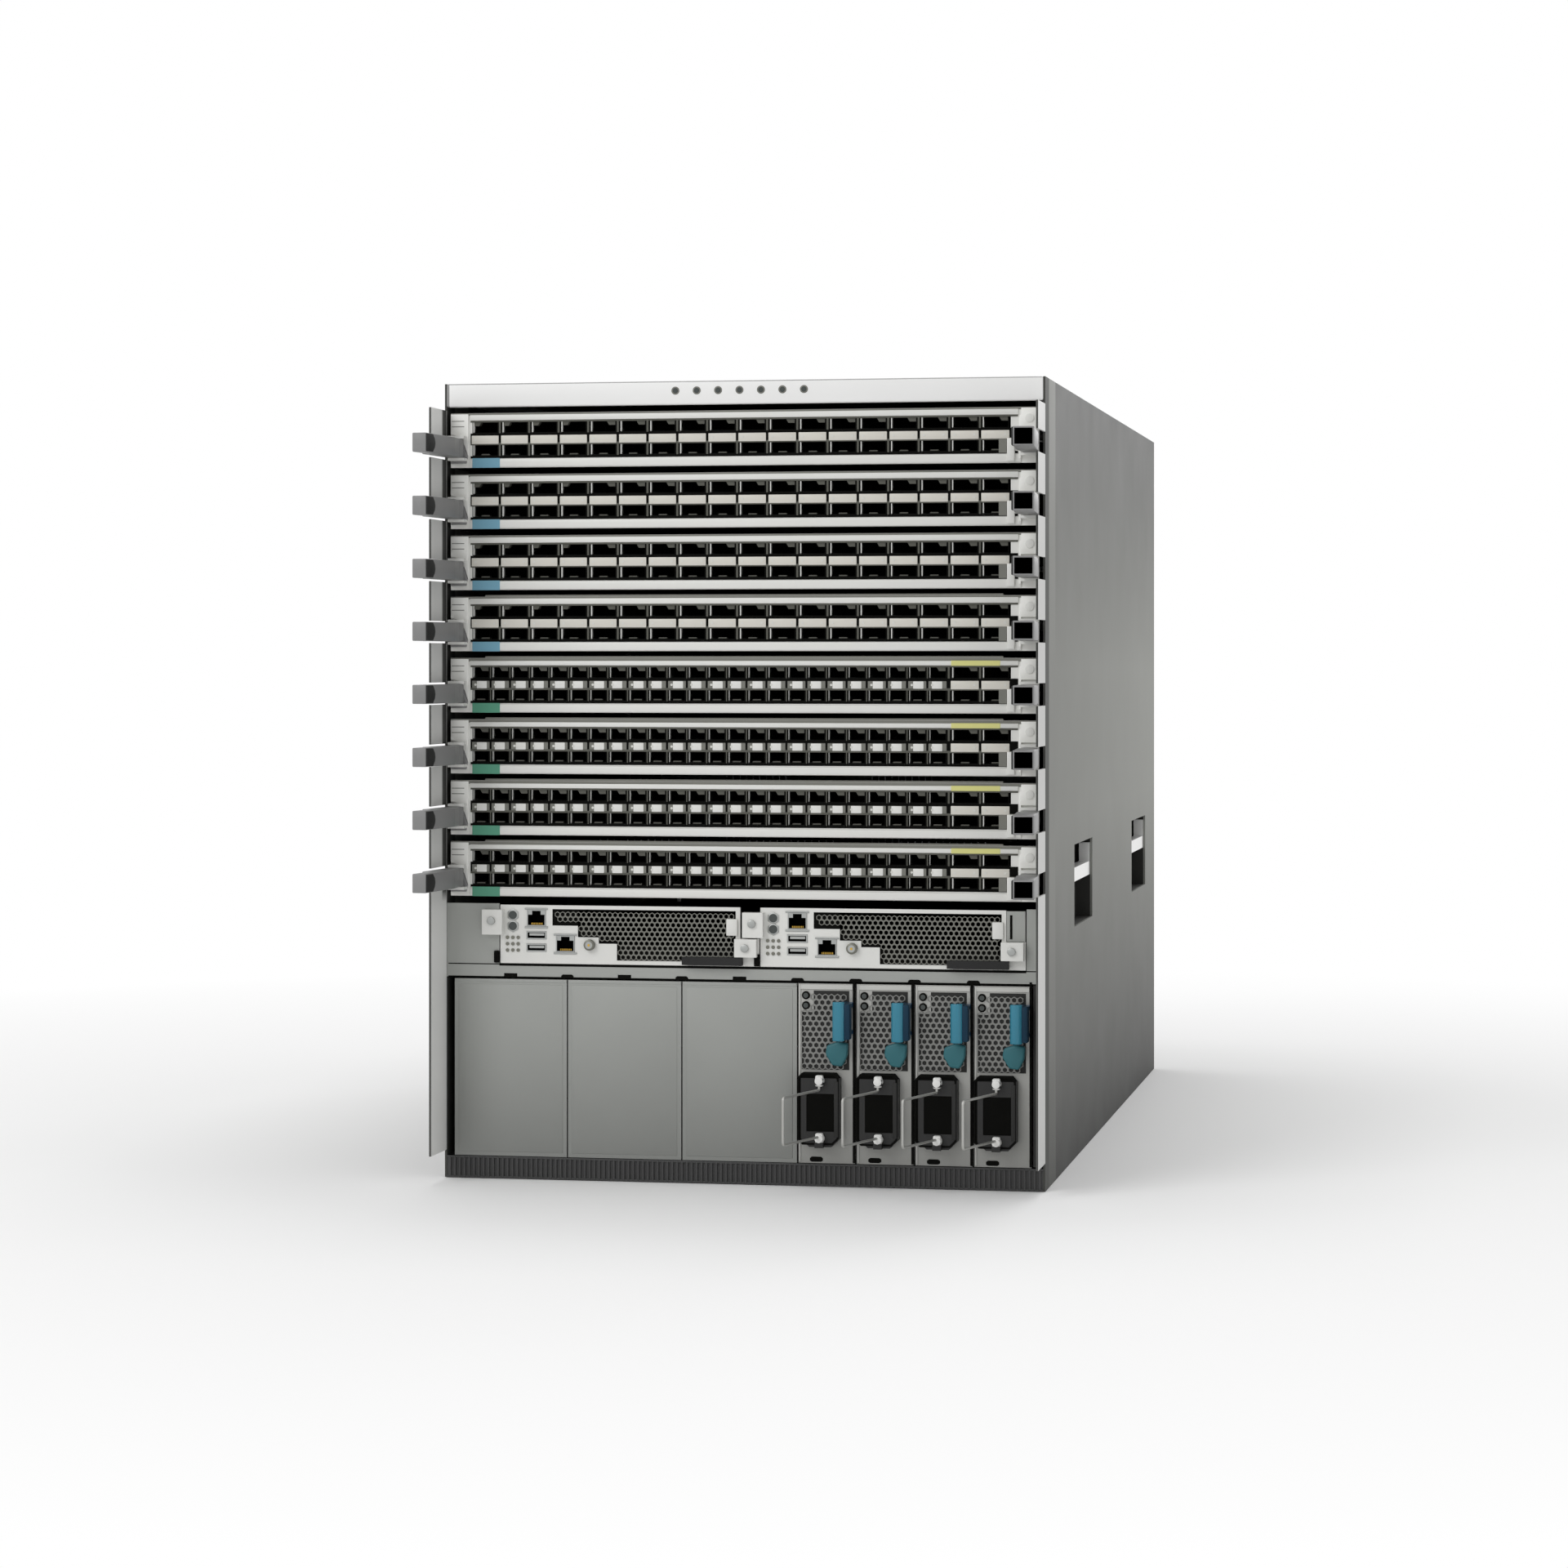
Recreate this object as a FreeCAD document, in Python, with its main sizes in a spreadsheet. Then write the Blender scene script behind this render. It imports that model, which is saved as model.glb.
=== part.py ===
import FreeCAD, Part

import os

import Sketcher

# A 13 rack unit modular chassis switch: a sheet metal chassis that holds eight line cards, two
# supervisors, four power supplies and three blank covers at the front, and three fan trays and two
# system controllers at the rear. Millimetres. X runs to the right as seen from the front, Y to the
# rear and Z up. The origin is the middle of the base, on the surface that the chassis stands on.

SIZES = [
    # alias, value, meaning
    ("chassis_width", 440, "over the side panels"),
    ("chassis_height", 577, "13 rack units, less a gap"),
    ("chassis_depth", 800, "front faces to rear faces"),
    ("sheet_gauge", 1.5, "steel sheet of the chassis"),
    ("thin_gauge", 1.2, "steel sheet of trays and covers"),
    ("fin_reach", 40, "side fins in front of the faces"),
    ("fin_bottom", 20, ""),
    ("fin_top", 557.6, ""),
    ("base_height", 16, "hollow base under the supplies"),
    ("grille_depth", 15, ""),
    ("grille_pitch", 10.4, "rib to rib"),
    ("grille_rows", 41, "grooves across the grille"),
    ("grille_groove", 6, "depth of a groove"),
    ("bezel_bottom", 560, ""),
    ("bezel_wall", 2, ""),
    ("bezel_proud", 1.5, "in front of the card faces"),
    ("light_pitch", 15.7, ""),
    ("light_radius", 2.6, ""),
    ("light_count", 7, ""),
    ("light_height", 570, "centre of the status lights"),
    ("shelf_bottom", 146, ""),
    ("shelf_top", 156, ""),
    ("card_count", 8, ""),
    ("card_pitch", 44.45, "one rack unit"),
    ("card_zone_top", 555.5, "top edge of the first card"),
    ("plate_width", 431, ""),
    ("plate_height", 39.5, ""),
    ("plate_gauge", 3, ""),
    ("tray_half", 198, "half the width of a card tray"),
    ("tray_end", 150, "rear end of the card trays"),
    ("tray_lift", 2, "tray floor above the plate's lower edge"),
    ("tray_rail", 12, "height of a tray's side rails"),
    ("port_left", -199.3, "left edge of the first port column"),
    ("port_row_low", 8.3, "lower port row above the plate's edge"),
    ("port_row_high", 24.8, "upper port row above the plate's edge"),
    ("port_height", 8.7, ""),
    ("port_depth", 45, ""),
    ("port_bank_depth", 48, "cages behind the plate"),
    ("wide_pitch", 22, ""),
    ("wide_port", 19.4, ""),
    ("wide_columns", 18, ""),
    ("narrow_pitch", 14.6, ""),
    ("narrow_port", 12.8, ""),
    ("narrow_columns", 24, ""),
    ("uplink_left", 152.8, "left edge of the first uplink column"),
    ("uplink_columns", 2, ""),
    ("lever_height", 13.5, ""),
    ("lever_drop", 6, "lever centre below the plate's centre"),
    ("lever_reach", 80, "hinge axis to tip"),
    ("lever_half", 7.5, "half the width of the grip"),
    ("lever_root", 4.5, "half the width at the hinge"),
    ("lever_pivot_x", 209, "hinge axis from the middle plane"),
    ("lever_pivot_y", 6, "hinge axis in front of the plate"),
    ("lever_splay", 4.8, "degrees outward at rest"),
    ("ear_gap", 0.25, "lever to ear"),
    ("ear_gauge", 2, ""),
    ("notch_height", 16, "in the side fins, one for each lever"),
    ("supervisor_left", -178.3, ""),
    ("supervisor_pitch", 192.6, ""),
    ("supervisor_width", 191.8, ""),
    ("supervisor_bottom", 156.3, ""),
    ("supervisor_height", 42.3, ""),
    ("handle_reach", 5, "thickness of a supervisor lever"),
    ("bay_left", -213, "left edge of the power bays"),
    ("bay_pitch", 42.4, ""),
    ("bay_bottom", 16.4, ""),
    ("bay_top", 144.8, ""),
    ("supply_depth", 380, ""),
    ("supply_width", 40.8, ""),
    ("inlet_reach", 8.5, "inlet block in front of the supply"),
    ("wire_radius", 1.3, "cord bail"),
    ("bail_reach", 52, "bail axis to its far side"),
    ("bail_swing", 18.5, "degrees to the left at rest"),
    ("fan_tray_left", -215.6, ""),
    ("fan_tray_pitch", 144, ""),
    ("fan_tray_width", 143.2, ""),
    ("fan_tray_bottom", 205, ""),
    ("fan_tray_depth", 80, ""),
    ("fan_pitch", 122, ""),
    ("fan_opening", 114, ""),
    ("pan_front", 175, "front edge of the first handle pan behind the faces"),
    ("pan_length", 120, ""),
    ("pan_spacing", 422, ""),
    ("pan_bottom", 175, ""),
    ("pan_height", 62, ""),
    ("pan_depth", 13, ""),
    ("grip_height", 10.5, ""),
]


class Size:
    """A number together with the sheet expression that gives it."""

    def __init__(self, value, text):
        self.value = float(value)
        self.text = text

    def __add__(self, other):
        other = sized(other)
        return Size(self.value + other.value, f"({self.text} + {other.text})")

    def __sub__(self, other):
        other = sized(other)
        return Size(self.value - other.value, f"({self.text} - {other.text})")

    def __mul__(self, other):
        other = sized(other)
        return Size(self.value * other.value, f"{self.text} * {other.text}")

    def __truediv__(self, other):
        other = sized(other)
        return Size(self.value / other.value, f"{self.text} / {other.text}")

    def __neg__(self):
        return Size(-self.value, f"(0 - {self.text})")

    __radd__ = __add__
    __rmul__ = __mul__

    def __rsub__(self, other):
        return sized(other) - self


def sized(number):
    """Wraps a plain number, so that it can stand in an expression."""
    if isinstance(number, Size):
        return number
    return Size(number, f"({float(number):g})")


doc = FreeCAD.newDocument("modular_chassis_switch")
sheet = doc.addObject("Spreadsheet::Sheet", "Sizes")
size = {}
for row, (alias, value, meaning) in enumerate(SIZES, start=1):
    sheet.set(f"A{row}", alias)
    sheet.set(f"B{row}", str(value))
    sheet.set(f"C{row}", meaning)
    sheet.setAlias(f"B{row}", alias)
    size[alias] = Size(value, f"Sizes.{alias}")
doc.recompute()

HALF_WIDTH = size["chassis_width"] / 2
INNER_HALF = HALF_WIDTH - size["sheet_gauge"]
FRONT = -(size["chassis_depth"] / 2)
REAR = size["chassis_depth"] / 2
TOP = size["chassis_height"]
GAUGE = size["sheet_gauge"]
THIN = size["thin_gauge"]
LEVER_CENTRE = size["plate_height"] / 2 - size["lever_drop"]
SIDES = {"left": -1, "right": 1}


# Helpers: every length that they set is bound to the sheet


def bind(item, path, length):
    """Binds one property to the sheet."""
    if isinstance(length, Size):
        item.setExpression(path, length.text)


def origin(body, role):
    """One of a body's own origin planes or axes."""
    return [item for item in body.Origin.OriginFeatures if item.Role == role][0]


def sketch(body, name, plane, height, outlines):
    """A sketch of closed outlines on a plane parallel to an origin plane, at a given coordinate."""
    profile = body.newObject("Sketcher::SketchObject", name)
    profile.AttachmentSupport = [(origin(body, plane + "_Plane"), "")]
    profile.MapMode = "FlatFace"
    along_normal = -sized(height) if plane == "XZ" else sized(height)
    lift = FreeCAD.Vector(0, 0, along_normal.value)
    profile.AttachmentOffset = FreeCAD.Placement(lift, FreeCAD.Rotation())
    bind(profile, "AttachmentOffset.Base.z", along_normal)
    for outline in outlines:
        draw(profile, outline)
    return profile


def draw(profile, outline):
    """Adds one closed polygon, with each corner held from the sketch's origin."""
    corners = [(sized(u), sized(v)) for u, v in outline]
    count = len(corners)
    first = profile.GeometryCount
    points = [FreeCAD.Vector(u.value, v.value, 0) for u, v in corners]
    profile.addGeometry(
        [Part.LineSegment(points[i], points[(i + 1) % count]) for i in range(count)]
    )
    profile.addConstraint(
        [
            Sketcher.Constraint("Coincident", first + i, 2, first + (i + 1) % count, 1)
            for i in range(count)
        ]
    )
    for i, (u, v) in enumerate(corners):
        across = profile.addConstraint(
            Sketcher.Constraint("DistanceX", -1, 1, first + i, 1, u.value)
        )
        up = profile.addConstraint(
            Sketcher.Constraint("DistanceY", -1, 1, first + i, 1, v.value)
        )
        if "Sizes" in u.text:
            profile.setExpression(f"Constraints[{across}]", u.text)
        if "Sizes" in v.text:
            profile.setExpression(f"Constraints[{up}]", v.text)


def rectangle(left, bottom, right, top):
    return [(left, bottom), (right, bottom), (right, top), (left, top)]


def new_body(label):
    body = doc.addObject("PartDesign::Body", label)
    body.Label = label
    return body


def extrude(body, name, plane, low, high, *outlines):
    """A pad that fills the outlines from one coordinate to another along the plane's normal."""
    start = high if plane == "XZ" else low
    pad = body.newObject("PartDesign::Pad", name)
    pad.Profile = sketch(body, name + "_outline", plane, start, outlines)
    pad.Length = (sized(high) - low).value
    bind(pad, "Length", sized(high) - low)
    body.Tip = pad
    return pad


def cut(body, name, plane, low, high, *outlines):
    """A pocket that empties the outlines from one coordinate to another."""
    start = low if plane == "XZ" else high
    pocket = body.newObject("PartDesign::Pocket", name)
    pocket.Profile = sketch(body, name + "_outline", plane, start, outlines)
    pocket.Length = (sized(high) - low).value
    bind(pocket, "Length", sized(high) - low)
    body.Tip = pocket
    return pocket


def repeat(body, name, feature, axis, pitch, count):
    """A row of a feature, along an origin axis of the body."""
    row = body.newObject("PartDesign::LinearPattern", name)
    row.Originals = [feature]
    row.Direction = (origin(body, axis + "_Axis"), [""])
    length = pitch * (count - 1)
    row.Length = length.value
    row.Occurrences = int(sized(count).value)
    bind(row, "Length", length)
    bind(row, "Occurrences", count)
    body.Tip = row
    return row


def place(body, x=0, y=0, z=0, turn=0):
    """Puts a body in its place, turned about the vertical by some degrees."""
    spot = [sized(value) for value in (x, y, z)]
    rotation = FreeCAD.Rotation(FreeCAD.Vector(0, 0, 1), sized(turn).value)
    body.Placement = FreeCAD.Placement(FreeCAD.Vector(*[v.value for v in spot]), rotation)
    for letter, value in zip("xyz", spot):
        if "Sizes" in value.text:
            body.setExpression(f"Placement.Base.{letter}", value.text)
    if isinstance(turn, Size):
        body.setExpression("Placement.Rotation.Angle", turn.text)


def between(side, inner, outer):
    """The lowest and highest X of something that lies between two distances on one side."""
    if side > 0:
        return inner, outer
    return -sized(outer), -sized(inner)


# Chassis


def side_panel(name, side):
    """Folded side sheet with its front fin, lever notches, card ledges and two handle pans."""
    body = new_body(f"side_panel_{name}")
    low, high = between(side, INNER_HALF, HALF_WIDTH)
    fin_front = FRONT - size["fin_reach"]
    outline = [
        (FRONT, 0),
        (REAR, 0),
        (REAR, TOP),
        (FRONT, TOP),
        (FRONT, size["fin_top"]),
        (fin_front, size["fin_top"]),
        (fin_front, size["fin_bottom"]),
        (FRONT, size["fin_bottom"]),
    ]
    extrude(body, "sheet", "YZ", low, high, outline)

    centre = card_height(size["card_count"]) + LEVER_CENTRE
    half_notch = size["notch_height"] / 2
    notch = cut(
        body,
        "lever_notch",
        "YZ",
        low,
        high,
        rectangle(fin_front - 1, centre - half_notch, FRONT, centre + half_notch),
    )
    repeat(body, "lever_notches", notch, "Z", size["card_pitch"], size["card_count"])

    ledge_top = card_height(size["card_count"]) + size["tray_lift"] - 0.3
    inner, outer = between(side, size["tray_half"] - 6, INNER_HALF)
    ledge = extrude(
        body,
        "card_ledge",
        "XZ",
        FRONT + 6,
        size["tray_end"],
        rectangle(inner, ledge_top - THIN, outer, ledge_top),
    )
    repeat(body, "card_ledges", ledge, "Z", size["card_pitch"], size["card_count"])

    pan_start = FRONT + size["pan_front"]
    pan_end = pan_start + size["pan_length"]
    pan_low = size["pan_bottom"]
    pan_high = pan_low + size["pan_height"]
    inner, outer = between(side, HALF_WIDTH - size["pan_depth"] - THIN, INNER_HALF)
    shell = extrude(
        body,
        "handle_pan",
        "YZ",
        inner,
        outer,
        rectangle(pan_start - THIN, pan_low - THIN, pan_end + THIN, pan_high + THIN),
    )
    repeat(body, "handle_pans", shell, "Y", size["pan_spacing"], 2)
    inner, outer = between(side, HALF_WIDTH - size["pan_depth"], HALF_WIDTH)
    hollow = cut(
        body,
        "pan_hollow",
        "YZ",
        inner,
        outer,
        rectangle(pan_start, pan_low, pan_end, pan_high),
    )
    repeat(body, "pan_hollows", hollow, "Y", size["pan_spacing"], 2)
    return body


def top_cover():
    """Top sheet with its two edges folded down inside the side panels."""
    body = new_body("top_cover")
    edge = INNER_HALF
    fold = TOP - 12
    outline = [
        (-edge, fold),
        (GAUGE - edge, fold),
        (GAUGE - edge, TOP - GAUGE),
        (edge - GAUGE, TOP - GAUGE),
        (edge - GAUGE, fold),
        (edge, fold),
        (edge, TOP),
        (-edge, TOP),
    ]
    extrude(body, "sheet", "XZ", FRONT + 5, REAR, outline)
    return body


def base_tray():
    """Hollow base with a deck for the supplies, bay dividers and a windowed exhaust panel."""
    body = new_body("base_tray")
    front = FRONT + size["grille_depth"]
    deck = size["base_height"]
    extrude(body, "box", "XZ", front, REAR, rectangle(-INNER_HALF, 0, INNER_HALF, deck))
    cut(
        body,
        "air_duct",
        "XZ",
        front,
        REAR,
        rectangle(GAUGE - INNER_HALF, GAUGE, INNER_HALF - GAUGE, deck - GAUGE),
    )
    first = size["bay_left"] + size["bay_pitch"] * 6
    divider = extrude(
        body,
        "bay_divider",
        "XZ",
        FRONT + 4,
        FRONT + size["supply_depth"],
        rectangle(first - 0.5, deck, first + 0.5, size["bay_top"]),
    )
    repeat(body, "bay_dividers", divider, "X", size["bay_pitch"], 4)
    extrude(
        body,
        "exhaust_panel",
        "XZ",
        REAR - GAUGE,
        REAR,
        rectangle(-INNER_HALF, deck, INNER_HALF, size["shelf_bottom"]),
    )
    start = size["bay_left"] + 3
    pair = size["bay_pitch"] * 2
    window = cut(
        body,
        "exhaust_window",
        "XZ",
        REAR - GAUGE,
        REAR,
        rectangle(start, deck + 10, start + pair - 6, size["shelf_bottom"] - 10),
    )
    repeat(body, "exhaust_windows", window, "X", pair, 5)
    return body


def intake_grille():
    """Ribbed strip along the foot of the front: one bar with V grooves cut down its face."""
    body = new_body("intake_grille")
    front = FRONT - 1
    extrude(
        body,
        "bar",
        "XY",
        0,
        size["base_height"],
        rectangle(-INNER_HALF, front, INNER_HALF, FRONT + size["grille_depth"]),
    )
    first = size["grille_pitch"] * (size["grille_rows"] - 1) / -2
    half = size["grille_pitch"] / 2
    groove = cut(
        body,
        "groove",
        "XY",
        0,
        size["base_height"],
        [
            (first - half, front),
            (first, front + size["grille_groove"]),
            (first + half, front),
        ],
    )
    repeat(body, "grooves", groove, "X", size["grille_pitch"], size["grille_rows"])
    return body


def front_bezel():
    """Moulded bar across the top, hollow behind, with a row of status lights fused in."""
    body = new_body("front_bezel")
    face = FRONT - size["bezel_proud"]
    back = FRONT + 5
    low = size["bezel_bottom"]
    wall = size["bezel_wall"]
    outline = [(face, low), (back, low), (back, TOP), (face + 1, TOP), (face, TOP - 1)]
    extrude(body, "bar", "YZ", -INNER_HALF, INNER_HALF, outline)
    cut(
        body,
        "hollow",
        "XZ",
        face + wall,
        back,
        rectangle(wall - INNER_HALF, low + wall, INNER_HALF - wall, TOP - wall),
    )
    first = size["light_pitch"] * (size["light_count"] - 1) / -2 - 0.7
    height = size["light_height"]
    radius = size["light_radius"]
    tall = radius * 0.866
    hexagon = [
        (first + radius, height),
        (first + radius / 2, height + tall),
        (first - radius / 2, height + tall),
        (first - radius, height),
        (first - radius / 2, height - tall),
        (first + radius / 2, height - tall),
    ]
    light = extrude(body, "status_light", "XZ", face - 0.6, face, hexagon)
    repeat(body, "status_lights", light, "X", size["light_pitch"], size["light_count"])
    return body


def power_shelf():
    """Folded shelf over the supplies, with filler plates at both ends of the supervisor row."""
    body = new_body("power_shelf")
    low = size["shelf_bottom"]
    high = size["shelf_top"]
    outline = [
        (FRONT, low),
        (FRONT + GAUGE, low),
        (FRONT + GAUGE, high - GAUGE),
        (REAR - GAUGE, high - GAUGE),
        (REAR - GAUGE, low),
        (REAR, low),
        (REAR, high),
        (FRONT, high),
    ]
    extrude(body, "shelf", "YZ", -INNER_HALF, INNER_HALF, outline)
    left_end = size["supervisor_left"] - 0.8
    right_start = size["supervisor_left"] + size["supervisor_pitch"] + size["supervisor_width"] + 0.6
    filler_top = high + 43.5
    extrude(
        body,
        "fillers",
        "XZ",
        FRONT,
        FRONT + GAUGE,
        rectangle(-INNER_HALF, high, left_end, filler_top),
        rectangle(right_start, high, INNER_HALF, filler_top),
    )
    first = size["bay_left"] + size["bay_pitch"]
    notch = cut(
        body,
        "finger_notch",
        "XZ",
        FRONT,
        FRONT + GAUGE,
        rectangle(first - 5, low, first + 5, low + 3),
    )
    repeat(body, "finger_notches", notch, "X", size["bay_pitch"] * 2, 3)
    return body


def fabric_cage():
    """Rear card cage: six upright fabric modules between a fan shelf and a top rail."""
    body = new_body("fabric_cage")
    front = size["tray_end"] + 16
    back = front + 110
    shelf_top = size["fan_tray_bottom"] - 0.3
    shelf_half = HALF_WIDTH - size["pan_depth"] - THIN
    rail_top = TOP - 6
    rail_low = rail_top - 5
    extrude(
        body,
        "fan_shelf",
        "XY",
        shelf_top - 2,
        shelf_top,
        rectangle(-shelf_half, front, shelf_half, REAR - 2),
    )
    spacing = size["fan_tray_pitch"] / 2
    first = spacing * -2.5
    module = extrude(
        body,
        "fabric_module",
        "XZ",
        front,
        back,
        rectangle(first - 3, shelf_top, first + 3, rail_low),
    )
    repeat(body, "fabric_modules", module, "X", spacing, 6)
    extrude(
        body,
        "top_rail",
        "XZ",
        front,
        back,
        rectangle(GAUGE - INNER_HALF, rail_low, INNER_HALF - GAUGE, rail_top),
    )
    return body


# Line cards


def line_card(number, uplinks):
    """One line card: faceplate, port cages, tray, rear connector and the ears of its levers."""
    body = new_body(f"line_card_{number}")
    half = size["plate_width"] / 2
    floor = size["tray_lift"]
    board = floor + THIN
    rail_top = floor + size["tray_rail"]
    tray = size["tray_half"]
    plate_back = FRONT + size["plate_gauge"]
    outline = [
        (-tray, floor),
        (tray, floor),
        (tray, rail_top),
        (tray - THIN, rail_top),
        (tray - THIN, board),
        (THIN - tray, board),
        (THIN - tray, rail_top),
        (-tray, rail_top),
    ]
    extrude(body, "tray", "XZ", plate_back, size["tray_end"], outline)
    extrude(body, "faceplate", "XZ", FRONT, plate_back, rectangle(-half, 0, half, size["plate_height"]))
    extrude(
        body,
        "port_cages",
        "XZ",
        plate_back,
        FRONT + size["port_bank_depth"],
        rectangle(-half + 14, board, half - 14, size["plate_height"] - 3),
    )
    low = size["port_row_low"]
    high = size["port_row_high"]
    rise = size["port_height"]
    port_end = FRONT + size["port_depth"]

    def port_rows(name, left, pitch, width, columns):
        start = left + (pitch - width) / 2
        pair = cut(
            body,
            name,
            "XZ",
            FRONT,
            port_end,
            rectangle(start, low, start + width, low + rise),
            rectangle(start, high, start + width, high + rise),
        )
        repeat(body, name + "_row", pair, "X", pitch, columns)

    first = size["port_left"]
    wide_pitch = size["wide_pitch"]
    wide_port = size["wide_port"]
    if uplinks:
        port_rows("narrow_ports", first, size["narrow_pitch"], size["narrow_port"], size["narrow_columns"])
        port_rows("uplink_ports", size["uplink_left"], wide_pitch, wide_port, size["uplink_columns"])
    else:
        port_rows("wide_ports", first, wide_pitch, wide_port, size["wide_columns"])

    extrude(
        body,
        "rear_connector",
        "XY",
        board,
        size["plate_height"] - 10,
        rectangle(-185, size["tray_end"] - 12, 185, size["tray_end"]),
    )
    gap = size["lever_height"] / 2 + size["ear_gap"]
    for side in SIDES.values():
        inner, outer = between(side, size["lever_pivot_x"] - 6, size["lever_pivot_x"] + 6)
        extrude(
            body,
            "ears",
            "XZ",
            FRONT - size["lever_pivot_y"] - 4,
            FRONT,
            rectangle(inner, LEVER_CENTRE + gap, outer, LEVER_CENTRE + gap + size["ear_gauge"]),
            rectangle(inner, LEVER_CENTRE - gap - size["ear_gauge"], outer, LEVER_CENTRE - gap),
        )
    place(body, z=card_height(number))
    return body


def card_height(number):
    """Height of the lower edge of a card's plate, counted from the top card."""
    return size["card_zone_top"] - size["card_pitch"] * (number - 1) - size["plate_height"]


def ejector(name, side, number):
    """Ejector lever: a tapered box arm, open in front, with a thin spring leaf and a grip pad."""
    body = new_body(f"ejector_{name}_{number}")
    reach = size["lever_reach"]
    half = size["lever_half"]
    root = size["lever_root"]
    rise = size["lever_height"] / 2

    def plan(u, forward):
        return u * side, -sized(forward)

    outline = [
        plan(-root, -3),
        plan(root, -3),
        plan(root, 8),
        plan(half, 24),
        plan(half, reach),
        plan(-half, reach),
        plan(-half, 24),
        plan(-root, 8),
    ]
    extrude(body, "arm", "XY", -rise, rise, outline)
    slot_low, slot_high = between(side, half - 4.5, half - 2.5)
    cut(
        body,
        "leaf_slot",
        "XY",
        -rise,
        rise,
        rectangle(slot_low, -reach, slot_high, 30 - reach),
    )
    box_low, box_high = between(side, THIN - half, half - 4.5 - THIN)
    cut(
        body,
        "hollow",
        "XZ",
        -reach,
        55 - reach,
        rectangle(box_low, THIN - rise, box_high, rise - THIN),
    )
    pad_low, pad_high = between(side, -half - 1, -half)
    extrude(
        body,
        "grip_pad",
        "YZ",
        pad_low,
        pad_high,
        [
            (-reach, -rise),
            (24 - reach, -rise),
            (28 - reach, 0),
            (24 - reach, rise),
            (-reach, rise),
        ],
    )
    place(
        body,
        x=size["lever_pivot_x"] * side,
        y=FRONT - size["lever_pivot_y"],
        z=card_height(number) + LEVER_CENTRE,
        turn=size["lever_splay"] * side,
    )
    return body


# Supervisors


def supervisor_edge(number):
    """Left edge of a supervisor's plate."""
    return size["supervisor_left"] + size["supervisor_pitch"] * (number - 1)


def supervisor(number):
    """Supervisor module: stepped faceplate, an ear and an end block, jack housing and an open tray."""
    body = new_body(f"supervisor_{number}")
    width = size["supervisor_width"]
    height = size["supervisor_height"]
    plate_back = FRONT + 2
    tray = [
        (4, 1),
        (width - 4, 1),
        (width - 4, 18),
        (width - 4 - THIN, 18),
        (width - 4 - THIN, 1 + THIN),
        (4 + THIN, 1 + THIN),
        (4 + THIN, 18),
        (4, 18),
    ]
    extrude(body, "tray", "XZ", plate_back, size["tray_end"], tray)
    ear_width = 13
    ear_low = 21
    plate = [
        (0, 0),
        (width, 0),
        (width, ear_low - 1),
        (width - ear_width - 1, ear_low - 1),
        (width - ear_width - 1, height),
        (0, height),
    ]
    extrude(body, "faceplate", "XZ", FRONT, plate_back, plate)
    extrude(body, "jack_housing", "XZ", plate_back, FRONT + 24, rectangle(17, 1 + THIN, 60, height - 2))
    cut(
        body,
        "network_jacks",
        "XZ",
        FRONT,
        FRONT + 18,
        rectangle(20, 27, 34, 39),
        rectangle(41.6, 8.5, 55.6, 20.5),
    )
    cut(
        body,
        "serial_ports",
        "XZ",
        FRONT,
        FRONT + 16,
        rectangle(19.5, 17.5, 34.5, 23.5),
        rectangle(19.5, 8.5, 34.5, 14.5),
    )
    extrude(
        body,
        "end_blocks",
        "XZ",
        FRONT - 6.8,
        FRONT,
        rectangle(1 - ear_width, ear_low, 3, ear_low + 18),
        rectangle(width - 17, 7, width - 1, ear_low - 1),
    )
    place(body, x=supervisor_edge(number), z=size["supervisor_bottom"])
    return body


def supervisor_lever(number):
    """Dark lever that lies along the foot of a supervisor's face and swings out to unseat it."""
    body = new_body(f"supervisor_lever_{number}")
    half = size["handle_reach"] / 2
    outline = [
        (2.5, -half),
        (2.5, half),
        (-36, half),
        (-42, 0),
        (-36, -half),
    ]
    extrude(body, "arm", "XY", 0.8, 6.6, outline)
    place(
        body,
        x=supervisor_edge(number) + size["supervisor_width"] - 14,
        y=FRONT - half - 1.8,
        z=size["supervisor_bottom"],
    )
    return body


# Power supplies and blank covers


def supply_left(number):
    return size["bay_left"] + size["bay_pitch"] * (5 + number)


def power_supply(number):
    """Power supply: closed case, inlet block with three blades, lugs for the bail and a loop handle."""
    body = new_body(f"power_supply_{number}")
    face = FRONT + 0.5
    low = size["bay_bottom"]
    width = size["supply_width"]
    left = (size["bay_pitch"] - width) / 2
    case = rectangle(left, low, left + width, size["bay_top"])
    extrude(body, "case", "XZ", face, FRONT + size["supply_depth"], case)
    block = face - size["inlet_reach"]
    extrude(
        body,
        "inlet_block",
        "XZ",
        block,
        face,
        [(4, 78), (4, 35), (10, 29), (26, 29), (32, 35), (32, 78)],
    )
    cut(body, "inlet_socket", "XZ", block, block + 24, rectangle(8, 40, 28, 67))
    extrude(
        body,
        "inlet_blades",
        "XZ",
        block + 6,
        block + 24,
        rectangle(17, 43, 19, 49),
        rectangle(11, 57, 13, 63),
        rectangle(23, 57, 25, 63),
    )
    extrude(
        body,
        "bail_lugs",
        "XZ",
        block - 6,
        block,
        rectangle(15, 73.8, 21, 78),
        rectangle(15, 29, 21, 32.9),
    )
    loop = [
        (face, 109),
        (face - 17, 111),
        (face - 17, 130),
        (face, 132),
        (face, 129),
        (face - 14, 127.5),
        (face - 14, 113.5),
        (face, 112),
    ]
    extrude(body, "pull_handle", "YZ", 31, 40.5, loop)
    place(body, x=supply_left(number))
    return body


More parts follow.
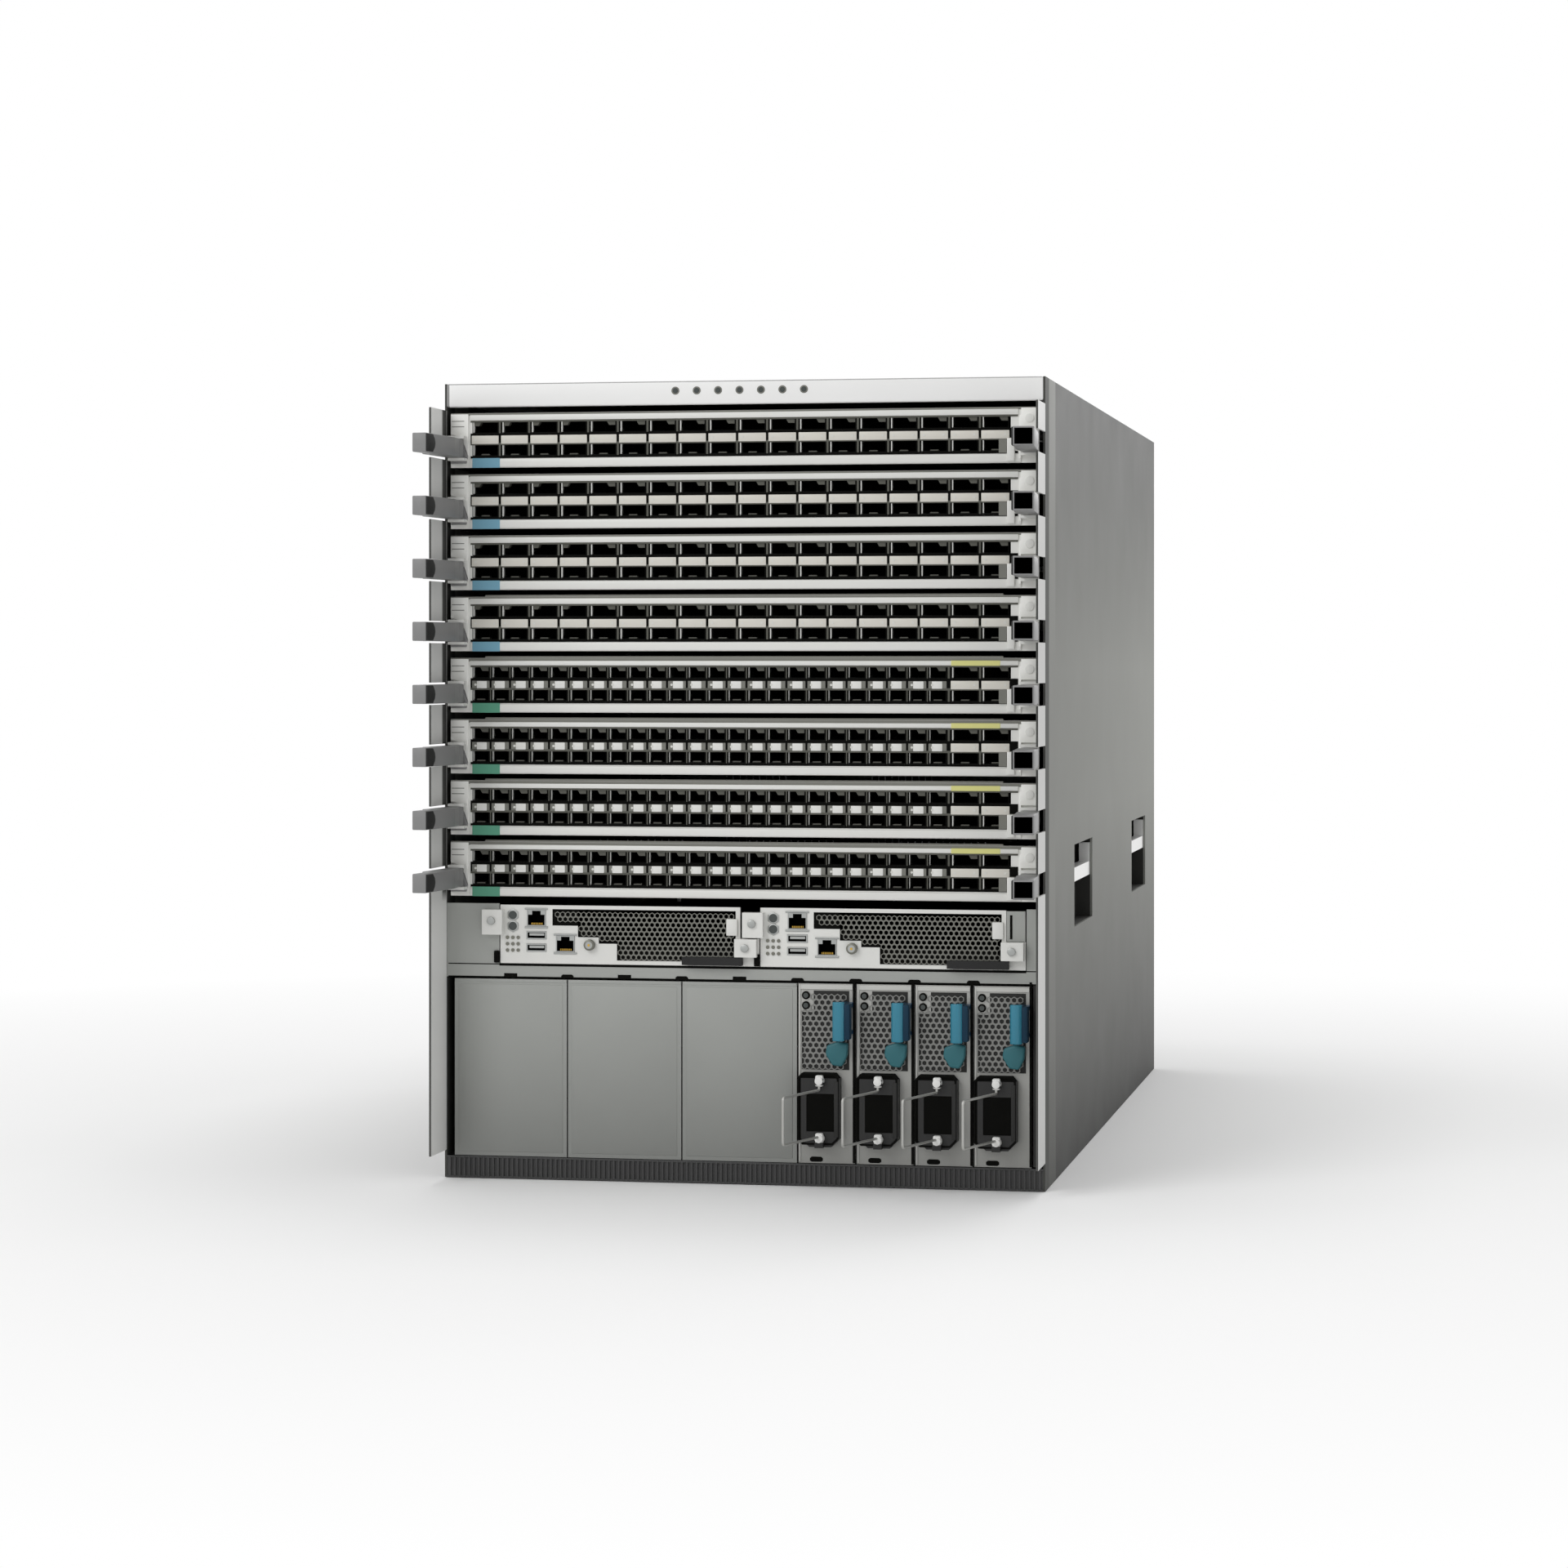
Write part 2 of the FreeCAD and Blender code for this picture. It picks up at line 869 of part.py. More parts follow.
def supply_latch(number):
    """Thumb latch under a supply's handle: a wedge that slides left to release it."""
    body = new_body(f"supply_latch_{number}")
    face = FRONT + 0.2
    outline = [(face, 90), (face, 107.5), (face - 9, 107.5), (face - 4, 90)]
    extrude(body, "wedge", "YZ", 31, 40, outline)
    place(body, x=supply_left(number))
    return body


def cord_bail(number):
    """Wire bail that holds a cord in its inlet: one bent wire that turns about an upright axis."""
    body = new_body(f"cord_bail_{number}")
    radius = size["wire_radius"]
    upper = 16.65
    end = upper + 3.5
    path = sketch(body, "wire_path", "YZ", 0, [])
    route = [
        (0, end),
        (0, upper),
        (-size["bail_reach"], upper),
        (-size["bail_reach"], -upper),
        (0, -upper),
        (0, -end),
    ]
    points = [FreeCAD.Vector(sized(u).value, sized(v).value, 0) for u, v in route]
    path.addGeometry([Part.LineSegment(a, b) for a, b in zip(points, points[1:])])
    for i in range(len(points) - 2):
        path.addConstraint(Sketcher.Constraint("Coincident", i, 2, i + 1, 1))
    for i, (u, v) in enumerate(route[1:-1]):
        across = path.addConstraint(Sketcher.Constraint("DistanceX", -1, 1, i + 1, 1, sized(u).value))
        path.addConstraint(Sketcher.Constraint("DistanceY", -1, 1, i + 1, 1, sized(v).value))
        if isinstance(u, Size):
            path.setExpression(f"Constraints[{across}]", u.text)
    path.addConstraint(Sketcher.Constraint("DistanceX", -1, 1, 0, 1, 0))
    path.addConstraint(Sketcher.Constraint("DistanceY", -1, 1, 0, 1, end))
    path.addConstraint(Sketcher.Constraint("DistanceX", -1, 1, len(points) - 2, 2, 0))
    path.addConstraint(Sketcher.Constraint("DistanceY", -1, 1, len(points) - 2, 2, -end))
    tall = radius * 0.866
    section = sketch(
        body,
        "wire_section",
        "XY",
        end,
        [
            [
                (radius, 0),
                (radius / 2, tall),
                (-radius / 2, tall),
                (-radius, 0),
                (-radius / 2, -tall),
                (radius / 2, -tall),
            ]
        ],
    )
    wire = body.newObject("PartDesign::AdditivePipe", "wire")
    wire.Profile = section
    wire.Spine = (path, [f"Edge{i + 1}" for i in range(len(points) - 1)])
    wire.Transition = "Right corner"
    body.Tip = wire
    place(
        body,
        x=supply_left(number) + 18,
        y=FRONT + 0.5 - size["inlet_reach"] - 4,
        z=53.35,
        turn=-size["bail_swing"],
    )
    return body


def blank_cover(number):
    """Folded cover over two empty power bays."""
    body = new_body(f"blank_cover_{number}")
    low = size["bay_bottom"]
    high = size["bay_top"]
    back = FRONT + 12
    outline = [
        (FRONT, low),
        (FRONT, high),
        (back, high),
        (back, high - THIN),
        (FRONT + THIN, high - THIN),
        (FRONT + THIN, low + THIN),
        (back, low + THIN),
        (back, low),
    ]
    extrude(body, "sheet", "YZ", 0.5, size["bay_pitch"] * 2 - 0.5, outline)
    place(body, x=size["bay_left"] + size["bay_pitch"] * 2 * (number - 1))
    return body


# Rear modules


def fan_tray(number):
    """Fan tray with three square ducts, each with a fan motor on an arm, and a grab handle."""
    body = new_body(f"fan_tray_{number}")
    width = size["fan_tray_width"]
    low = size["fan_tray_bottom"]
    pitch = size["fan_pitch"]
    front = REAR - size["fan_tray_depth"]
    extrude(body, "frame", "XZ", front, REAR, rectangle(0, low, width, low + pitch * 3))
    opening = size["fan_opening"]
    left = (width - opening) / 2 - 3
    bottom = low + (pitch - opening) / 2
    duct = cut(
        body,
        "duct",
        "XZ",
        front,
        REAR,
        rectangle(left, bottom, left + opening, bottom + opening),
    )
    repeat(body, "ducts", duct, "Z", pitch, 3)
    middle = left + opening / 2
    centre = low + pitch / 2
    hub_and_arm = [
        (middle - 20, centre - 20),
        (middle + 20, centre - 20),
        (middle + 20, centre + 20),
        (middle - 20, centre + 20),
        (middle - 20, centre + 4),
        (left, centre + 4),
        (left, centre - 4),
        (middle - 20, centre - 4),
    ]
    fan = extrude(body, "fan", "XZ", front + 4, REAR - 6, hub_and_arm)
    repeat(body, "fans", fan, "Z", pitch, 3)
    grab = [
        (REAR, low + 130),
        (REAR + 24, low + 130),
        (REAR + 24, low + 236),
        (REAR, low + 236),
        (REAR, low + 228),
        (REAR + 18, low + 228),
        (REAR + 18, low + 138),
        (REAR, low + 138),
    ]
    extrude(body, "grab_handle", "YZ", width - 13, width - 4, grab)
    place(body, x=size["fan_tray_left"] + size["fan_tray_pitch"] * (number - 1))
    return body


def system_controller(number):
    """Rear controller module: a flat tray with a faceplate and a fixed pull."""
    body = new_body(f"system_controller_{number}")
    width = 214.4
    height = size["supervisor_height"]
    plate_front = REAR - 2
    extrude(body, "tray", "XZ", REAR - 150, plate_front, rectangle(4, 1, width - 4, 1 + THIN))
    extrude(body, "faceplate", "XZ", plate_front, REAR, rectangle(0, 0, width, height))
    extrude(body, "pull", "XZ", REAR, REAR + 18, rectangle(width - 40, 12, width - 20, 30))
    place(body, x=(width + 1.2) * (number - 2) + 0.6, z=size["supervisor_bottom"])
    return body


# Lift handles


def lift_handle(side_name, side, place_name, order):
    """Drop handle in a side pan: a U of flat bar, hinged near the top of the pan."""
    body = new_body(f"lift_handle_{side_name}_{place_name}")
    length = size["pan_length"] - 0.2
    grip = size["grip_height"]
    drop = 22
    low, high = between(side, -4, 4)
    outline = [
        (-length / 2, 3),
        (-length / 2, -drop),
        (length / 2, -drop),
        (length / 2, 3),
        (length / 2 - 5, 3),
        (length / 2 - 5, grip - drop),
        (5 - length / 2, grip - drop),
        (5 - length / 2, 3),
    ]
    extrude(body, "bail", "YZ", low, high, outline)
    place(
        body,
        x=(HALF_WIDTH - 6) * side,
        y=FRONT + size["pan_front"] + size["pan_length"] / 2 + size["pan_spacing"] * order,
        z=size["pan_bottom"] + size["pan_height"] - 7,
    )
    return body


def build():
    """Makes every sub-part and returns the bodies in order."""
    pieces = [side_panel(name, side) for name, side in SIDES.items()]
    pieces += [top_cover(), base_tray(), intake_grille(), front_bezel(), power_shelf(), fabric_cage()]
    for number in range(1, 9):
        pieces.append(line_card(number, uplinks=number > 4))
        for name, side in SIDES.items():
            pieces.append(ejector(name, side, number))
    for number in (1, 2):
        pieces += [supervisor(number), supervisor_lever(number), system_controller(number)]
    for number in range(1, 5):
        pieces += [power_supply(number), supply_latch(number), cord_bail(number)]
    for number in (1, 2, 3):
        pieces += [blank_cover(number), fan_tray(number)]
    for name, side in SIDES.items():
        for order, place_name in enumerate(("front", "rear")):
            pieces.append(lift_handle(name, side, place_name, order))
    return pieces


def check(pieces):
    """Stops if a feature failed, a cut removed nothing or a sub-part isn't one sound solid."""
    for item in doc.Objects:
        if "Invalid" in item.State or "Error" in item.State:
            raise RuntimeError(f"{item.Label} in {item.getParentGeoFeatureGroup()} failed: {item.State}")
        if item.TypeId == "PartDesign::Pocket":
            if item.Shape.Volume > item.BaseFeature.Shape.Volume - 1:
                raise RuntimeError(f"{item.Label} cut nothing")
    for piece in pieces:
        shape = piece.Shape
        if shape.isNull() or not shape.isValid():
            raise RuntimeError(f"{piece.Label} has no sound shape")
        if len(shape.Solids) != 1:
            raise RuntimeError(f"{piece.Label} has {len(shape.Solids)} solids")


def export(pieces):
    os.makedirs("parts", exist_ok=True)
    for piece in pieces:
        piece.Shape.exportStep(os.path.join("parts", f"{piece.Label}.step"))


pieces = build()
doc.recompute()
check(pieces)
export(pieces)
print(len(pieces), "sub-parts")
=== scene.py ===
"""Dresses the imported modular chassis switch: faceplates, port cages, levers, supplies, fans and finishes."""

import math

import bmesh
import bpy
from mathutils import Matrix, Vector


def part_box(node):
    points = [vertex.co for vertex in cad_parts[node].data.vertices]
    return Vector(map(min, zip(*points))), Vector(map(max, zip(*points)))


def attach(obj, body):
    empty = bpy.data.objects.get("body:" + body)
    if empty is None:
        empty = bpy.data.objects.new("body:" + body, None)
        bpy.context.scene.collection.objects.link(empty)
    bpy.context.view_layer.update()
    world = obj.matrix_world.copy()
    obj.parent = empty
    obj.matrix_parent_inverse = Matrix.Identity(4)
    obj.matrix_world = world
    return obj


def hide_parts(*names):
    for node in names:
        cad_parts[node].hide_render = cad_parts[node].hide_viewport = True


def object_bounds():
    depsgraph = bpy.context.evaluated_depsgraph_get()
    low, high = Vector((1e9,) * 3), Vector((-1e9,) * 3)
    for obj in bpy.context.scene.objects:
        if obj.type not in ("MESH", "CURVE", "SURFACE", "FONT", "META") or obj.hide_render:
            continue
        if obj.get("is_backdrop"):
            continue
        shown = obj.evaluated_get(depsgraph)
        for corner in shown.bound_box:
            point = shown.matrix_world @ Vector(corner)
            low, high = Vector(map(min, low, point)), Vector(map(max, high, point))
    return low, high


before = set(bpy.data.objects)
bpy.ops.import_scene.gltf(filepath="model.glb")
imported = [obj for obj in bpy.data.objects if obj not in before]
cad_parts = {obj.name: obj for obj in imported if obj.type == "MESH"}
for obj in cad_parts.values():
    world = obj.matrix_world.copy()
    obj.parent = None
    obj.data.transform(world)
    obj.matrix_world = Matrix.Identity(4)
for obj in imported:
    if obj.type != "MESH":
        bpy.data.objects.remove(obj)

bl_info = {
    "name": "Modular Chassis Switch",
    "version": (1, 0, 0),
    "blender": (4, 5, 0),
    "location": "3D View > Sidebar > Chassis Switch",
    "description": "Dresses the chassis switch with faceplates, port cages, levers, supplies, fans and finishes",
    "category": "Add Mesh",
}

# Lengths are in millimetres, and the front and rear are planes of the source.
X, Y, Z = range(3)
MM = 0.001
FRONT = -400.0
REAR = 400.0
CARDS = range(1, 9)
WIDE_CARDS = 4
SUPPLIES = range(1, 5)
CAD_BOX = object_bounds()

# Line cards: the ports' left edges and sizes, and heights above a card's lower edge.
FIRST_PORT = -199.3
UPLINK = 152.8
WIDE_PORT = 19.4
NARROW_PORT = 12.8
PORT_HEIGHT = 8.7
LOWER_PORTS = 8.3
UPPER_PORTS = 24.8
STRIP_HALF = 200.6
BOARD_RISE = 14

# Ejector levers: the hinges' distance from the middle, and the angle in degrees at rest.
HINGE_HALF = 209
SPLAY = 4.8

# Supervisors: the ear at the left, and the perforation, which steps down to the right. Each step is its left edge
# and foot, and the end is the upper right corner, all from the lower left corner of the face beside the ear.
EAR_REACH = 12
PERFORATION_STEPS = [(39, 27.7), (58, 19.5), (73.5, 15), (87, 3)]
PERFORATION_END = (174.5, 39.5)

# Power supplies: the left edge of the first, the pitch of the bays, and the angle in degrees and reach of a bail.
FIRST_SUPPLY = 41.4
BAY_PITCH = 42.4
BAIL_SPLAY = 18.5
BAIL_REACH = 52

# Edges sharper than this stay sharp.
SHARP_ANGLE = math.radians(35)

# Soft lamps: name, place in metres, size and power. All look at one point.
LAMPS = [
    ("key", (-1.7, -3.0, 2.3), 2.0, 38),
    ("fill", (2.6, -0.6, 0.4), 1.0, 6.2),
    ("top", (0, 0.2, 2.9), 2.0, 26),
    ("back", (0.8, 3.2, 1.7), 2.0, 30),
]
LAMP_AIM = (0, 0, 0.25)
WHITE = (1, 1, 1, 1)


# Properties


def srgb(text):
    """Linear RGBA of an sRGB hex colour."""
    parts = [int(text[place:place + 2], 16) / 255 for place in (1, 3, 5)]
    return (*[part / 12.92 if part <= 0.04045 else ((part + 0.055) / 1.055) ** 2.4 for part in parts], 1.0)


def tint(name, description, text):
    """A colour that a user may change, given as sRGB hex."""
    return bpy.props.FloatVectorProperty(
        name=name, description=description, subtype="COLOR", size=4, min=0, max=1, default=srgb(text)
    )


def length(name, description, millimetres):
    """A length that a user may change, given in millimetres and kept in metres."""
    return bpy.props.FloatProperty(name=name, description=description, unit="LENGTH", default=millimetres * MM)


class SwitchColours(bpy.types.PropertyGroup):
    """Colours of the paints, plastics and metals."""

    chassis: tint("Chassis", "Powder coat of the shelves and covers", "#A6A8A4")
    side: tint("Side", "Powder coat of the side sheets", "#8F908B")
    fin: tint("Fin", "Paint of the front fins", "#EEEEEC")
    faceplate: tint("Faceplate", "Paint of the card faceplates", "#E6E6E2")
    bezel: tint("Bezel", "Plastic of the top bar", "#F6F6F5")
    intake: tint("Intake", "Plastic of the ribbed foot strip", "#3A3A3A")
    # The cages' default is darker than bright nickel, painted shade.
    cage: tint("Port cage", "Plating of the port cages", "#74746C")
    lever: tint("Lever", "Plastic of the ejector levers", "#858585")
    supply: tint("Supply", "Plating of the power supplies", "#AEAEAA")
    teal: tint("Teal", "Plastic of the supply handles and latches", "#2C7F97")
    blue_tag: tint("Blue tag", "Print on the upper cards", "#6FA2B8")
    green_tag: tint("Green tag", "Print on the lower cards", "#4E9479")
    yellow_tag: tint("Yellow tag", "Print over the uplink ports", "#DAD88A")
    board: tint("Board", "Solder mask of the circuit boards", "#1F5A3C")


class SwitchSizes(bpy.types.PropertyGroup):
    """Sizes of the repeated details."""

    rib_pitch: length("Rib pitch", "Distance between the ribs of the foot strip", 3.6)
    module_hole: length("Module hole", "Pitch of the hexagon holes in a supervisor", 3.9)
    supply_hole: length("Supply hole", "Pitch of the hexagon holes in a supply", 4.4)
    exhaust_hole: length("Exhaust hole", "Pitch of the hexagon holes at the rear", 8.0)
    bail_wire: length("Bail wire", "Radius of the cord bail's wire", 0.95)
    guard_wire: length("Guard wire", "Radius of the fan guard's wire", 1.1)


# Modelling in millimetres


def corners(node_name):
    """Lowest and highest corner of a node of the source, in millimetres."""
    low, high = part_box(node_name)
    return low / MM, high / MM


class Piece:
    """One mesh in the making, in millimetres from an origin, whose faces carry the number of their material."""

    def __init__(self, *origin):
        self.bm = bmesh.new()
        self.origin = Vector(origin or (0, 0, 0))

    def paint(self, verts, material):
        """Gives the faces at some corners their material."""
        for face in {face for vert in verts for face in vert.link_faces}:
            face.material_index = material

    def bevel(self, edges, offset, steps):
        """Rounds off some edges."""
        bmesh.ops.bevel(
            self.bm, geom=list(edges), offset=offset, segments=steps, profile=0.5, affect="EDGES", material=-1
        )

    def grow(self, faces, move):
        """Extrudes some faces by a vector, and returns the corners that moved."""
        grown = bmesh.ops.extrude_face_region(self.bm, geom=faces)["geom"]
        verts = [item for item in grown if isinstance(item, bmesh.types.BMVert)]
        bmesh.ops.translate(self.bm, verts=verts, vec=move)
        return verts

    def shaped(self, verts, material, soft, steps):
        """Paints a closed shape and rounds off its edges. With soft above 0 the corners given don't last."""
        self.paint(verts, material)
        if soft:
            self.bevel({edge for vert in verts for edge in vert.link_edges if len(edge.link_faces) == 2}, soft, steps)
        return verts

    def block(self, low, high, material=0, soft=0.0, steps=1):
        """A box between two corners, with its edges rounded off."""
        low, high = self.origin + Vector(low), self.origin + Vector(high)
        place = Matrix.Translation((low + high) / 2) @ Matrix.Diagonal((*(high - low), 1))
        verts = bmesh.ops.create_cube(self.bm, size=1, matrix=place)["verts"]
        return self.shaped(verts, material, soft, steps)

    def prism(self, outline, axis, low, high, material=0, soft=0.0, steps=1):
        """A bar along an axis whose section is an outline in the other two axes."""
        spots = [self.origin + Vector((*point[:axis], low, *point[axis:])) for point in outline]
        face = self.bm.faces.new([self.bm.verts.new(spot) for spot in spots])
        bottom = list(face.verts)
        top = self.grow([face], [high - low if place == axis else 0 for place in (X, Y, Z)])
        return self.shaped(bottom + top, material, soft, steps)

    def rod(self, start, end, radius, material=0, tip=None, sides=24, soft=0.0):
        """A round bar or cone between two points, with its rims rounded off."""
        start, end = self.origin + Vector(start), self.origin + Vector(end)
        turn = (end - start).to_track_quat("Z", "Y").to_matrix().to_4x4()
        verts = bmesh.ops.create_cone(
            self.bm,
            cap_ends=True,
            segments=sides,
            radius1=radius,
            radius2=radius if tip is None else tip,
            depth=(end - start).length,
            matrix=Matrix.Translation((start + end) / 2) @ turn,
        )["verts"]
        self.paint(verts, material)
        if soft:
            edges = {edge for vert in verts for edge in vert.link_edges}
            self.bevel([edge for edge in edges if any(len(face.verts) > 4 for face in edge.link_faces)], soft, 2)

    def stud(self, x, z, start, end, *size, **settings):
        """A rod that points to the front or to the rear."""
        self.rod((x, start, z), (x, end, z), *size, **settings)

    def pocket(self, verts, rim, depth, material, facing=-1):
        """Sinks the face that looks to the front, or to the rear, and leaves a rim round it."""
        faces = {face for vert in verts for face in vert.link_faces}
        face = max(faces, key=lambda item: item.calc_center_median().y * facing)
        face.normal_update()
        bmesh.ops.inset_region(self.bm, faces=[face], thickness=rim, use_even_offset=True)
        floor = self.grow([face], (0, -facing * depth, 0))
        bmesh.ops.delete(self.bm, geom=[face], context="FACES_ONLY")
        self.paint(floor, material)

    def honeycomb(self, cells, pitch, web, front, back):
        """A perforated sheet: hexagons side by side, each opened by a hole, then given thickness."""
        upright = Matrix.Rotation(math.pi / 2, 4, "X")
        for x, z in cells:
            place = Matrix.Translation(self.origin + Vector((x, front, z))) @ upright
            bmesh.ops.create_circle(self.bm, cap_ends=True, segments=6, radius=pitch / math.sqrt(3), matrix=place)
        bmesh.ops.remove_doubles(self.bm, verts=self.bm.verts, dist=pitch / 50)
        bmesh.ops.recalc_face_normals(self.bm, faces=self.bm.faces)
        bmesh.ops.inset_individual(self.bm, faces=self.bm.faces, thickness=web / 2, use_even_offset=True)
        holes = [face for face in self.bm.faces if len(face.verts) == 6]
        bmesh.ops.delete(self.bm, geom=holes, context="FACES")
        self.grow(self.bm.faces, (0, back - front, 0))

    def ring(self, centre, radius, wire_radius, material):
        """A wire ring about an axis that points to the front, painted where it closes."""
        centre = self.origin + Vector(centre)
        place = Matrix.Translation(centre + Vector((radius, 0, 0)))
        verts = bmesh.ops.create_circle(self.bm, segments=6, radius=wire_radius, matrix=place)["verts"]
        edges = list({edge for vert in verts for edge in vert.link_edges})
        spun = bmesh.ops.spin(
            self.bm, geom=verts + edges, cent=centre, axis=(0, 1, 0), angle=math.tau, steps=40, use_merge=True
        )["geom_last"]
        self.paint([item for item in spun if isinstance(item, bmesh.types.BMVert)], material)

    def finish(self, name, body, slot, *finishes, replaces=None):
        """Makes the object, in metres, that rides on a body, with the finishes given. The slot is not used."""
        bmesh.ops.recalc_face_normals(self.bm, faces=self.bm.faces)
        bmesh.ops.scale(self.bm, verts=self.bm.verts, vec=(MM, MM, MM))
        mesh = bpy.data.meshes.new(name)
        self.bm.to_mesh(mesh)
        self.bm.free()
        mesh.shade_smooth()
        mesh.set_sharp_from_angle(angle=SHARP_ANGLE)
        seat(name, mesh, body, finishes, replaces)


def add(name, data):
    """Puts a new object in the scene."""
    made = bpy.data.objects.new(name, data)
    bpy.context.scene.collection.objects.link(made)
    return made


def seat(name, mesh, body, finishes, replaces):
    """Puts a mesh in the scene, on its body, with its finishes, in place of a node of the source if one is named."""
    for finish in finishes:
        mesh.materials.append(finish(bpy.context.scene.switch_colours))
    made = add(name, mesh)
    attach(made, body)
    if replaces:
        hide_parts(replaces)


def hexagon_cells(low_x, low_z, high_x, high_z, pitch, keep=lambda x, z: True):
    """Centres of the hexagons that fit between two corners, row by row."""
    row_pitch = pitch * math.sqrt(3) / 2
    across = int((high_x - low_x) / pitch - 0.5)
    up = int((high_z - low_z - pitch * 1.2) / row_pitch) + 1
    spots = [
        (low_x + pitch * (column + 0.5 + row % 2 / 2), low_z + pitch * 0.6 + row_pitch * row)
        for row in range(up)
        for column in range(across)
    ]
    return [(x, z) for x, z in spots if keep(x, z)]


def wire(name, points, radius, body, finish, replaces):
    """A bent round wire that follows a smooth line through the hull of some points."""
    curve = bpy.data.curves.new(name, "CURVE")
    curve.dimensions = "3D"
    curve.bevel_depth = radius
    curve.bevel_resolution = 3
    curve.use_fill_caps = True
    line = curve.splines.new("NURBS")
    line.points.add(len(points) - 1)
    for spot, point in zip(line.points, points):
        spot.co = (*(Vector(point) * MM), 1)
    line.use_endpoint_u = True
    line.order_u = 3
    line.resolution_u = 6
    drawn = bpy.data.objects.new(name + "_line", curve)
    mesh = bpy.data.meshes.new_from_object(drawn)
    bpy.data.objects.remove(drawn)
    mesh.shade_smooth()
    seat(name, mesh, body, [finish], replaces)


# Finishes


def bare_tree(owner):
    """The node tree of a material or world, emptied."""
    owner.use_nodes = True
    owner.node_tree.nodes.clear()
    return owner.node_tree


def node(tree, kind, inputs=None, **settings):
    """Adds a node with its settings, and sets or links each of the inputs named."""
    made = tree.nodes.new("ShaderNode" + kind)
    for key, value in settings.items():
        setattr(made, key, value)
    for key, value in (inputs or {}).items():
        if isinstance(value, bpy.types.NodeSocket):
            tree.links.new(value, made.inputs[key])
        else:
            made.inputs[key].default_value = value
    return made


def shade(colour, factor):
    """A colour made darker or lighter."""
    return (*[min(1.0, part * factor) for part in colour[:3]], 1.0)


def surface(
    name, colour, roughness, metallic=0.0, grain=0.9, relief=0.01, cloud=60.0, drift=0.05,
    stretch=(1, 1, 1), zones=(), specular=0.5,
):
    """A finish whose tone and gloss drift over cloud millimetres, with grain of relief millimetres deep.

    Each zone is (mask, colour, roughness, metallic), where mask makes a 0 to 1 socket from X, Y and Z in metres.
    """
    made = bpy.data.materials.get(name)
    if made:
        return made
    made = bpy.data.materials.new(name)
    tree = bare_tree(made)
    place = node(tree, "TexCoord").outputs["Object"]
    axes = node(tree, "SeparateXYZ", {0: place}).outputs
    grown = node(tree, "Mapping", {"Vector": place, "Scale": stretch}).outputs[0]
    clouds = node(tree, "TexNoise", {"Vector": grown, "Scale": 1 / (cloud * MM), "Detail": 3.0}).outputs[0]
    grains = node(tree, "TexNoise", {"Vector": grown, "Scale": 1 / (grain * MM), "Detail": 2.0}).outputs[0]

    def tone(base):
        dark, light = shade(base, 1 - drift), shade(base, 1 + drift)
        return node(tree, "Mix", {0: clouds, 6: dark, 7: light}, data_type="RGBA").outputs[2]

    def gloss(level):
        low, high = max(0.05, level - 0.06), min(1.0, level + 0.06)
        return node(tree, "MapRange", {"Value": clouds, "To Min": low, "To Max": high}).outputs[0]

    paint, sheen, metal = tone(colour), gloss(roughness), metallic
    for mask, zone_colour, zone_roughness, zone_metallic in zones:
        share = mask(tree, axes)
        paint = node(tree, "Mix", {0: share, 6: paint, 7: tone(zone_colour)}, data_type="RGBA").outputs[2]
        sheen = node(tree, "Mix", {0: share, 2: sheen, 3: gloss(zone_roughness)}).outputs[0]
        if zone_metallic != metallic:
            metal = node(tree, "Mix", {0: share, 2: metal, 3: zone_metallic}).outputs[0]
    bump = node(tree, "Bump", {"Height": grains, "Distance": relief * MM}).outputs[0]
    inputs = {"Base Color": paint, "Roughness": sheen, "Metallic": metal, "Normal": bump}
    shader = node(tree, "BsdfPrincipled", {**inputs, "Specular IOR Level": specular})
    node(tree, "OutputMaterial", {0: shader.outputs[0]})
    return made


def plain(name, colour, roughness, *numbers, **settings):
    """A finish of one colour, given as sRGB hex or as the name of one that a user may change."""

    def finish(c):
        return surface(name, srgb(colour) if "#" in colour else getattr(c, colour), roughness, *numbers, **settings)

    return finish


def beyond(axis, limit, side=1, blur=0.0):
    """A zone mask: 1 where a coordinate in millimetres is beyond a limit, on one side of it."""

    def mask(tree, axes):
        start, end = (limit - side * blur) * MM, (limit + side * (blur + 0.01)) * MM
        inputs = {"Value": axes[axis], "From Min": start, "From Max": end}
        return node(tree, "MapRange", inputs, clamp=True).outputs[0]

    return mask


def both(*masks):
    """A zone mask: 1 only where all of the masks are."""

    def mask(tree, axes):
        share = masks[0](tree, axes)
        for other in masks[1:]:
            share = node(tree, "Math", {0: share, 1: other(tree, axes)}, operation="MULTIPLY").outputs[0]
        return share

    return mask


# Powder-coated sheet steel: baked paint with a fine orange peel, so the sheen breaks up softly.
# It is painted darker toward the foot as painted shade.
def powder_coat(c):
    foot = (beyond(Z, 80, -1, 75), shade(c.chassis, 0.6), 0.5, 0.0)
    return surface("powder_coated_steel", c.chassis, 0.5, grain=1.6, relief=0.03, zones=[foot])
